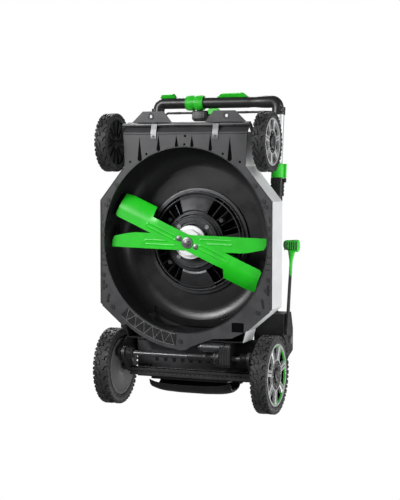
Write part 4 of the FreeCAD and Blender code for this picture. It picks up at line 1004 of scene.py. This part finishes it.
def smooth_path(points, corner, count=6):
    """Path of straight runs whose corners are rounded."""
    path = [Vector(points[0])]
    for before, here, after in zip(points, points[1:], points[2:]):
        here = Vector(here)
        a = here + (Vector(before) - here).normalized() * corner
        b = here + (Vector(after) - here).normalized() * corner
        for i in range(count + 1):
            t = i / count
            path.append(a * (1 - t) ** 2 + here * 2 * t * (1 - t) + b * t * t)
    path.append(Vector(points[-1]))
    return path


def front_axle_rod():
    y, z = FRONT_PIVOT
    left = wheel_place("front", "left")[0]
    end = mm(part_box("front_axle")[1]).x
    shape = Shape()
    path = smooth_path([(-end, left.y, left.z), (-226, left.y, left.z), (-214, y, z), (214, y, z),
                        (226, left.y, left.z), (end, left.y, left.z)], 3)
    shape.tube(path, 5.7, 24)
    for side in (-1, 1):
        shape.lathe("X", (side * 236, left.y, left.z),
                    [(-8, 0.4), (-8, 8), (-7, 8.8), (5, 8.8), (6, 8), (6, 0.4)], 32)
        shape.lathe("X", (side * (end + 232) / 2, left.y, left.z),
                    [(-(end - 232) / 2, 0.4), (-(end - 232) / 2, 7.9), ((end - 232) / 2, 7.9),
                     ((end - 232) / 2, 0.4)], 32)
    shape.piece("front_axle_rod", "front_axle_crank", ["rod"], ["front_axle"])


def axle_clips():
    """Pressed straps over the rod, each with a hooked end and a screw."""
    y, z = FRONT_PIVOT
    low = mm(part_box("front_axle_clips")[0])
    for name, middle in (("right", -104), ("left", 104)):
        shape = Shape()
        inner = [(y - 1, z + 8.2)] + arc((y, z), 6.0, 100, 262, 10) + [(y + 12, 65.6), (-374, 60.6),
                                                                                        (-350, 60.6)]
        outer = [(y - 1, z + 10.2)] + arc((y, z), 8.1, 100, 258, 10) + [(y + 12, 62.9), (-373, 58.6),
                                                                                         (-350, 58.6)]
        shape.prism(inner + list(reversed(outer)), middle - 9.5, middle + 9.5, "X")
        shape.post(middle, -359, [(low.z - 1.2, 0.3), (low.z - 1.2, 3.8), (58.7, 4.6), (58.7, 0.3)], 20)
        shape.piece(f"axle_clip_{name}", "deck", ["clip"], ["front_axle_clips"], bevel=0.35)


def boots():
    """Ribbed rubber boots on the drive shaft, inboard of each swing arm."""
    y, z = REAR_PIVOT
    shape = Shape()
    for side in (-1, 1):
        profile = [(side * 183.5, 8.2)]
        for k in range(5):
            x = 183.5 + 4.5 * k
            profile += [(side * x, 13.2), (side * (x + 1.2), 16.8), (side * (x + 2.6), 16.8),
                        (side * (x + 3.6), 13.2)]
        profile += [(side * 205.4, 13.2), (side * 205.4, 8.2)]
        shape.lathe("X", (0, y, z), profile, 48)
    shape.piece("drive_boots", "deck", ["grip"], ["shaft_boots"], bevel=0.3)


def gear_case():
    """Gear case with a ribbed collar, split line, bolts and the sleeve around the shaft."""
    y, z = REAR_PIVOT
    low, high = (mm(c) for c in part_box("gearbox_case"))
    shape = Shape()
    outline = rounded_box(low.y + 0.5, high.y - 0.5, low.z + 0.5, low.z + 65, 15, 8)
    shape.prism(outline, 121, 137, "X")
    shape.prism([(y + (a - y) * 0.95, z + (b - z) * 0.95) for a, b in outline], 137, 140, "X")
    shape.prism(outline, 140, 157, "X")
    shape.lathe("X", (0, y, z), [(8, 8.2), (8, 12.4), (9.5, 13), (60, 13), (62, 14.4), (72, 14.4), (74, 13),
                                 (97, 13),
                                 (99, 24), (101, 26.6), (106, 26.6), (107, 24), (111, 24), (112, 26.6),
                                 (118, 26.6),
                                 (121.5, 24), (121.5, 8.2)], 72)
    for k in range(12):
        a = 30 * k
        rows = []
        for x in (99.5, 120):
            rows.append([about("X", (0, y, z), x, radius, a + turn) for radius, turn in
                         ((23.5, -2.4), (27.0, -2.0), (27.0, 2.0), (23.5, 2.4))])
        shape.loft(rows)
    for by, bz in ((low.y + 12, low.z + 12), (low.y + 12, low.z + 52), (high.y - 12, low.z + 12),
                   (high.y - 12, low.z + 52)):
        shape.lathe("X", (0, by, bz), [(118.6, 0.3), (118.6, 4.6), (119.6, 5.4), (159, 5.4), (159, 0.3)],
                    18)
    for k in range(4):
        shape.prism(rounded_box(124 + 8 * k, 127 + 8 * k, 297, 357, 1.2, 3), low.z - 0.2, low.z + 2)
    shape.prism(rounded_box(90.5, 107.5, 300.5, 329.5, 3), 96, 157)
    shape.prism(rounded_box(100, 126, 300.5, 329.5, 3), 96.5, 111.5)
    shape.piece("gear_case", "deck", ["black"], ["gearbox_case"], bevel=0.5)
    motor = Shape()
    motor.lathe("X", (0, *DRIVE_MOTOR), [(44.4, 0.4), (44.4, 7.5), (50, 8), (50.5, 14.4), (52.5, 15.8),
                                         (60, 15.8), (61, 15),
                                    (96, 15), (97, 15.8), (119, 15.8), (119, 0.4)], 56)
    for k in range(8):
        rows = [[about("X", (0, *DRIVE_MOTOR), x, r, 45 * k + t) for r,
                 t in ((14.4, -3), (15.9, -2.2), (15.9, 2.2), (14.4, 3))]
                for x in (63, 94)]
        motor.loft(rows)
    motor.piece("drive_motor_case", "deck", ["alloy"], ["drive_motor"], bevel=0.3)


def swing_axle():
    """Ribbed beam between two swing arms, with pivot sleeves and wheel stubs."""
    stub_end = mm(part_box("rear_axle")[1]).x - 0.2
    y, z = REAR_PIVOT
    wheel, _, _, _ = wheel_place("rear", "left")
    shape = Shape()
    section = [(389.5, 107.5), (397.5, 107.5), (397.5, 112), (404.5, 112), (404.5, 107.5), (412.5, 107.5),
               (412.5, 130.5),
               (406, 130.5), (406, 119), (396, 119), (396, 130.5), (389.5, 130.5)]
    shape.prism(section, -208, 208, "X", steps=2)
    for k in range(27):
        x = -202 + 15.5 * k
        shape.prism(rounded_box(x, x + 2.2, 398, 404, 0.8, 2), 108.4, 113)
        shape.prism([(389.0, 109), (386.6, 112), (386.6, 127), (389.0, 130)], x, x + 2.0, "X")
    shape.tube([(-207, 386.9, 119), (207, 386.9, 119)], 1.5, 8)
    for side in (-1, 1):
        dy, dz = wheel.y - y, wheel.z - z
        span = math.hypot(dy, dz)
        ny, nz = -dz / span, dy / span
        lean = math.degrees(math.atan2(nz, ny))
        outline = arc((y, z), 21.6, lean, lean + 180, 14) + arc((wheel.y, wheel.z), 16.8, lean - 180, lean,
                                                                14)
        x0, x1 = sorted((side * 208.3, side * 218.7))
        shape.prism(outline, x0, x1, "X")
        middle = ((y + wheel.y) / 2, (z + wheel.z) / 2)
        smaller = [(middle[0] + (a - middle[0]) * 0.72, middle[1] + (b - middle[1]) * 0.72) for a,
                   b in outline]
        shape.tube([(side * 208.2, a, b) for a, b in smaller + smaller[:1]], 1.2, 6)
        shape.lathe("X", (0, y, z), [(side * 209, 8.2), (side * 209, 15.9), (side * 236.5, 15.9),
                                     (side * 237.8, 14.8),
                                     (side * 237.8, 8.2)], 48)
        shape.lathe("X", (0, wheel.y, wheel.z),
                    [(side * 209, 0.4), (side * 209, 12), (side * 236, 12), (side * 237, 7.95),
                                                 (side * stub_end, 7.95), (side * stub_end, 0.4)], 48)
    shape.piece("swing_axle", "rear_axle_swing", ["black_steel"], ["rear_axle"], bevel=0.4)


def dust_discs():
    """Grey dished discs inside the rear wheels with a pressed step and a hub boss."""
    wheel, radius, _, _ = wheel_place("rear", "left")
    edge = 0.8 * radius - 6.4
    for name, side in (("left", 1), ("right", -1)):
        shape = Shape()
        profile = [(side * 243.2, 9), (side * 241.6, 9), (side * 240.9, 20), (side * 240.9, 24),
                   (side * 242.0, 26),
                   (side * 242.0, edge - 9), (side * 240.9, edge - 7), (side * 240.9, edge - 1),
                   (side * 241.8, edge),
                   (side * 243.4, edge)]
        shape.lathe("X", (0, wheel.y, wheel.z), profile, 120)
        shape.piece(f"dust_disc_{name}", "rear_axle_swing", ["disc"], ["dust_covers"])


def tail_door():
    """Curved rear door with a moulded lip, ribs and a finger recess."""
    low, high = (mm(c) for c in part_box("rear_door"))
    hinge = DOOR_HINGE
    shape = Shape()
    x0, x1 = low.x + 6.5, high.x - 6.5
    centre, half = (x0 + x1) / 2, (x1 - x0) / 2
    bend = [(hinge[0] - 4, hinge[1] + 3), (hinge[0] + 14, hinge[1] + 2), (hinge[0] + 30, hinge[1] - 12),
            (hinge[0] + 37.5, hinge[1] - 34), (hinge[0] + 39.4, hinge[1] - 60),
            (hinge[0] + 33, hinge[1] - 82),
            (hinge[0] + 24, hinge[1] - 97), (hinge[0] + 9, hinge[1] - 105)]
    rows = []
    count = 36
    for i in range(count + 1):
        u = -1 + 2 * i / count
        pull = 12 * abs(u) ** 5
        row = []
        for k, (by, bz) in enumerate(bend):
            drop = (7 * abs(u) ** 4) * ease(k, 3, 7)
            row.append((centre + half * u, by - pull * ease(k, 0, 3) + 1.2 * ease(k, 2, 5) * ease(-abs(u),
                                                                                                  -0.5,
                                                                                                  -0.35),
                        bz + drop))
        rows.append(row + [(a, b - 3.2, c - 0.6) for a, b, c in reversed(row)])
    shape.loft(rows)
    for u in (-0.82, -0.6, -0.38, 0.38, 0.6, 0.82):
        x = centre + half * u
        pull = 12 * abs(u) ** 5
        rib = [(by - pull * ease(k, 0, 3) - 3, bz - 0.5) for k, (by, bz) in enumerate(bend[1:-1], 1)]
        shape.prism(rib + [(a - 7, b) for a, b in reversed(rib)], x - 1.1, x + 1.1, "X")
    shape.lathe("X", (0, *hinge), [(low.x + 0.4, 0.4), (low.x + 0.4, 2.9), (x0, 2.9), (x0, 4.9), (x1, 4.9),
                                   (x1, 2.9),
                                   (high.x - 0.4, 2.9), (high.x - 0.4, 0.4)], 32)
    shape.piece("tail_door", "door", ["black"], ["rear_door"], bevel=0.5)


def rear_ribs():
    """Louvred ribs under the tunnel floor and the shelves beside it."""
    shape = Shape()
    for k in range(8):
        x = -138 + 30 * k
        shape.prism([(345, 161.2), (372, 161.2), (366, 157.2), (351, 157.2)], x, x + 9, "X")
    for side in (-1, 1):
        for y in (300, 340, 385):
            low, high = sorted((side * (154 if side < 0 else 114), side * 203))
            shape.prism(rounded_box(low, high, y, y + 3, 1.2, 3), 158.6, 164.2)
    shape.piece("tunnel_ribs", "deck", ["black"], bevel=0.3)


def tunnel_mouth():
    """Dark frame that closes the tunnel's mouth in front of the door."""
    shape = Shape()
    x0, x1, z0, z1, rim = -156, 116, 158, 252, 7
    outer = rounded_box(x0, x1, z0, z1, 8)
    inner = rounded_box(x0 + rim, x1 - rim, z0 + rim, z1 - rim, 5)
    rows = [[(x, y, z) for x, z in loop] for y,
            loop in ((424, outer), (431, outer), (431, inner), (424, inner))]
    shape.grid(rows, loop_rows=True, loop_columns=True)
    shape.piece("tunnel_mouth", "deck", ["black"], bevel=0.5)


def rear():
    tunnel_mouth()
    front_axle_rod()
    axle_clips()
    boots()
    gear_case()
    swing_axle()
    dust_discs()
    tail_door()
    rear_ribs()


# ---------------------------------------------------------------- handle, controls and levers
PIVOT = (297.0, 280.0)       # y and z of the fold axis
BAR = (-479.0, 368.0)        # y and z of the bar's middle
SPAN = math.hypot(BAR[0] - PIVOT[0], BAR[1] - PIVOT[1])
ALONG = ((BAR[0] - PIVOT[0]) / SPAN, (BAR[1] - PIVOT[1]) / SPAN)
HANDLE_X = 221.0
BUTTON_S = 748.5             # middle of the start button along the handle


def at(s, lift=0.0):
    """y and z of a point s along the folded handle and lift above it."""
    return (PIVOT[0] + ALONG[0] * s + ALONG[1] * lift, PIVOT[1] + ALONG[1] * s - ALONG[0] * lift)


def along_tube(shape, x, profile, segments=48):
    """Lathe about the handle tube at x, from (s, radius) points."""
    rows = []
    up = Vector((0, ALONG[1], -ALONG[0]))
    for k in range(segments):
        a = 2 * math.pi * k / segments
        rows.append([Vector((x, *at(s))) + Vector((1, 0, 0)) * r * math.cos(a) + up * r * math.sin(a) for s,
                     r in profile])
    shape.grid(rows, loop_rows=True, loop_columns=True)


def handle_grip():
    """Cross bar: round, with a palm swell on the operator's left and turned-back ends."""
    shape = Shape()
    leg, bend = 212.0, 21.0
    path = [(leg, *at(737)), (leg, *at(750))]
    for k in range(13):
        a = math.radians(7.5 * k)
        path.append((leg - bend * (1 - math.cos(a)), *at(SPAN - bend + bend * math.sin(a))))
    for x in range(180, -181, -12):
        path.append((x, *at(SPAN)))
    for k in range(13):
        a = math.radians(90 - 7.5 * k)
        path.append((-leg + bend * (1 - math.cos(a)), *at(SPAN - bend + bend * math.sin(a))))
    path += [(-leg, *at(750)), (-leg, *at(737))]
    waist, swell = [[math.exp(-((p[0] - x) / width) ** 2) for p in path] for x,
                    width in ((128, 16), (176, 30))]
    shape.tube(path, [18.9 - 1.4 * a + 1.6 * b for a, b in zip(waist, swell)], 40)
    for x in (-46, 106, 150):
        shape.lathe("X", (0, *at(SPAN)), [(x, 18.2), (x + 0.6, 19.4), (x + 2.4, 19.4), (x + 3, 18.2)], 48)
    for side in (-1, 1):
        along_tube(shape, side * HANDLE_X, [(737, 14.1), (737, 16), (738, 16.5), (745, 16.5), (746, 15.8),
                                            (749, 15.8),
                                            (750, 16.5), (761, 16.5), (762, 16), (762, 14.1)])
    shape.piece("handle_grip", "upper_handle", ["grip_gloss"], ["handle_bar"])


def dial():
    """Knurled ring with a raised band."""
    y, z = at(SPAN)
    shape = Shape()
    shape.lathe("X", (0, y, z), [(-109.8, 19.4), (-109.8, 23.6), (-108.6, 24.6), (-106, 24.6),
                                 (-105.4, 23.8), (-52.6, 23.8),
                                 (-52, 24.6), (-49.4, 24.6), (-48.2, 23.6), (-48.2, 19.4)], 96)
    count = 26
    for k in range(count):
        a = 360 / count * k
        for ends in (((-104.5, 24.6), (-102.5, 25.8), (-84, 25.8), (-82, 24.6)),
                     ((-76, 24.6), (-74, 25.8), (-55.5, 25.8), (-53.5, 24.6))):
            shape.loft([[about("X", (0, y, z), x, r, a + t) for r, t in
                         ((23.2, -4.6), (top, -3.2), (top, 3.2), (23.2, 4.6))] for x, top in ends])
    shape.piece("dial_ring", "dial", ["green"], ["speed_dial"], bevel=0.25)


def paddle_piece(name, body, node):
    """Curved finger paddle with ribs, on the bar's far side."""
    low, high = (mm(c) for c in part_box(node))
    y, z = at(SPAN)
    shape = Shape()
    rows = []
    for i in range(25):
        u = i / 24
        x = low.x + (high.x - low.x) * u
        swell = 22.5 + 10.4 * ease(min(u, 1 - u), 0.0, 0.16)
        row = []
        for radius in (19.4, swell):
            steps = [61 + 60 * k / 10 for k in range(11)]
            if radius != 19.4:
                steps.reverse()
            for a in steps:
                row.append(about("X", (0, y, z), x, radius - (0.5 if radius > 20 and i % 3 == 0 else 0), a))
        rows.append(row)
    shape.loft(rows)
    shape.piece(name, body, ["green"], [node], bevel=0.5)


def control_housing():
    """Switch box behind the bar with a shelf, seams and vents."""
    shape = Shape()

    def slab(x0, x1, s0, s1, low, high, corner):
        outline = rounded_box(s0, s1, low, high, corner)
        rows = []
        for x, squeeze in ((x0, 0.93), (x0 + 2, 1.0), (x1 - 2, 1.0), (x1, 0.93)):
            ms, ml = (s0 + s1) / 2, (low + high) / 2
            rows.append([(x, *at(ms + (s - ms) * squeeze, ml + (lift - ml) * squeeze)) for s,
                         lift in outline])
        shape.loft(rows)

    slab(-79.5, -28.5, 720, 751, -29.5, -3, 5)
    slab(-76, -32, 716.5, 724, -25, -8, 3)
    slab(-78.5, 13.5, 735.5, 755, -2.8, 3.8, 2.5)
    for k in range(5):
        slab(-72 + 8 * k, -68.5 + 8 * k, 726, 746, -30.4, -28, 0.9)
    shape.piece("control_housing", "upper_handle", ["black"], ["control_box"], bevel=0.4)
    button = Shape()
    low, high = (mm(c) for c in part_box("start_button"))
    middle = (low.x + high.x) / 2
    rows = []
    for lift, squeeze in ((-7.6, 1.0), (-19.5, 1.0), (-21.4, 0.9), (-22, 0.72), (-21.4, 0.5)):
        rows.append([(middle + (a - middle) * squeeze, *at(BUTTON_S + (s - BUTTON_S) * squeeze, lift))
                     for a, s in rounded_box(low.x + 0.4, high.x - 0.4, 738.4, 758.6, 5)])
    button.loft(rows)
    button.piece("start_push_button", "start", ["green"], ["start_button"], bevel=0.3)


def bail():
    """Bent wire bail with rounded corners."""
    arm = 187.0
    rod_place, pivot_place = at(750, 16), at(742, 0)
    path = smooth_path([(-205, *pivot_place), (-arm, *pivot_place), (-arm, *rod_place), (arm, *rod_place),
                        (arm, *pivot_place), (205, *pivot_place)], 6)
    shape = Shape()
    shape.tube(path, 3.95, 20)
    for x in range(-150, 151, 60):
        y, z = rod_place
        shape.lathe("X", (0, y, z), [(x - 14, 3.9), (x - 12, 4.4), (x + 12, 4.4), (x + 14, 3.9),
                                     (x + 14, 3.0), (x - 14, 3.0)], 24)
    shape.piece("bail_wire", "bail", ["black_steel"], ["bail_bar"])


def handle_tubes():
    """Outer tubes with end caps, clamps with ribbed collars, and the telescoping tubes."""
    for name, side in (("left", 1), ("right", -1)):
        lower = Shape()
        along_tube(lower, side * HANDLE_X, [(-22, 15), (-22, 17), (-20, 18), (484, 18), (485, 17.4),
                                            (485, 14.2), (40, 14.2),
                                            (40, 0.4), (-22, 0.4)], 56)
        for s in (20, 60, 455):
            along_tube(lower, side * HANDLE_X, [(s, 17.6), (s + 0.4, 18.35), (s + 3.6, 18.35),
                                                (s + 4, 17.6)])
        lower.piece(f"lower_tube_{name}", "lower_handle", ["black_steel"], ["lower_tubes"])
        clamp = Shape()
        outline = rounded_box(-19.8, 19.6, -19.6, 19.6, 8, 6)
        for s0, s1, squeeze in ((470.3, 480, 1.0), (480, 484, 0.93), (484, 492, 1.0), (492, 496, 0.93),
                                (496, 504, 1.0),
                                (504, 508, 0.93), (508, 526.8, 1.0)):
            clamp.loft([[(side * HANDLE_X + a * squeeze, *at(s, b * squeeze)) for a, b in outline]
                        for s in (s0, s1)])
        ear = rounded_box(17, 29, -4.8, 4.8, 2)
        clamp.loft([[(side * (HANDLE_X + a), *at(s, b)) for a, b in ear] for s in (513.5, 526.8)])
        for s in (475, 500, 517):
            for lift in (-21, 19.4):
                spot = at(s, lift)
                clamp.tube([(side * (HANDLE_X - 6), *spot), (side * (HANDLE_X + 6), *spot)], 1.3, 8)
        clamp.piece(f"clamp_{name}", "lower_handle", ["black"], ["clamp_blocks"],
                    bevel=0.5)
        upper = Shape()
        along_tube(upper, side * HANDLE_X, [(180, 12), (180, 13.6), (180.6, 13.95), (757, 13.95),
                                            (757, 12)], 56)
        for s in range(250, 460, 50):
            spot = at(s, -13.7)
            upper.tube([(side * HANDLE_X, *at(s, -13.2)), (side * HANDLE_X, *spot)], 3, 12)
        upper.piece(f"upper_tube_{name}", "upper_handle", ["tube"], ["upper_tubes"])


def cam(name, side):
    """Curved quick-release lever with grip ribs and a hinge barrel."""
    shape = Shape()
    rows = []
    for i in range(17):
        s = 528 + 46.6 * i / 16
        swell = 22.3 - 1.6 * ease(i / 16, 0.75, 1.0) - (0.5 if i % 3 == 1 else 0)
        row = []
        for r, order in ((16.2, range(0, 19)), (swell, range(18, -1, -1))):
            for k in order:
                a = math.radians(186 + 168 * k / 18)
                row.append((side * (HANDLE_X + r * math.cos(a)), *at(s, r * math.sin(a))))
        rows.append(row)
    shape.loft(rows)
    along_tube(shape, side * (HANDLE_X + 25), [(528, 0.3), (528, 4.4), (574, 4.4), (574.5, 3.6),
                                               (574.5, 0.3)], 24)
    along_tube(shape, side * (HANDLE_X + 25), [(517.8, 0.3), (517.8, 2.9), (529, 2.9), (529, 0.3)], 20)
    rows = [[(side * (HANDLE_X + a), *at(s, b)) for a,
             b in ((17, -4.4), (25, -4.4), (25, -2.2), (17, -2.2))]
            for s in (528.2, 574)]
    shape.loft(rows)
    shape.piece(f"cam_release_{name}", f"cam_{name}", ["green"], [f"cam_lever_{name}"],
                bevel=0.4)


def lever_handle():
    """T-shaped grip: a crowned green body with dark ribbed inserts, and its long stem."""
    low, high = (mm(c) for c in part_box("lever_grip"))
    x0, x1 = high.x - 56, high.x - 0.3
    y0, y1 = low.y - 7, high.y + 4
    middle_y, middle_z = (y0 + y1) / 2, (low.z + high.z) / 2
    shape = Shape()
    rows = []
    count = 22
    for i in range(count + 1):
        u = i / count
        x = x0 + (x1 - x0) * u
        end = math.sqrt(max(1 - (2 * u - 1) ** 8, 0.04))
        tall = (0.66 + 0.34 * u) * end
        rows.append([(x, middle_y - 3.5 * (1 - u) + (a - middle_y) * tall,
                      middle_z + (b - middle_z) * (0.80 + 0.20 * u) * end)
                     for a, b in rounded_box(y0, y1, low.z, high.z, 9.5, 7)])
    shape.loft(rows)
    rows = []
    for i in range(11):
        u = i / 10
        y = middle_y + 4 + 92 * u
        half = 13.5 - 9.0 * ease(u, 0, 0.6)
        deep = 8.5 - 3.2 * u
        z = 274 - 0.2115 * (y - 4)
        rows.append([(290.2 + half * math.cos(t), y, z + deep * math.sin(t)) for t in
                     [2 * math.pi * k / 20 for k in range(20)]])
    shape.loft(rows)
    for side in (-1, 1):
        for k in range(5):
            x = x0 + 8 + 9.5 * k
            shape.tube([(x, y0 + 7, middle_z + side * 9.4), (x, y1 - 7, middle_z + side * 9.4)], 1.2, 8)
    shape.piece("lever_hand_grip", "height_control", ["green"], ["lever_grip"], bevel=0.4)
    pads = Shape()
    for k in range(6):
        x = x0 + 6 + 7.5 * k
        pads.prism(rounded_box(x, x + 4.6, y0 + 8, y1 - 8, 2), low.z + 0.4, low.z + 4.6)
    pads.piece("lever_grip_pads", "height_control", ["grip"], bevel=0.4)


def handle():
    handle_grip()
    dial()
    paddle_piece("speed_paddle_left", "drive_paddle_left", "paddle_left")
    paddle_piece("speed_paddle_right", "drive_paddle_right", "paddle_right")
    control_housing()
    bail()
    handle_tubes()
    cam("left", 1)
    cam("right", -1)
    lever_handle()


add_stage()
paint_nodes()
blades()
wheels()
deck()
rear()
handle()
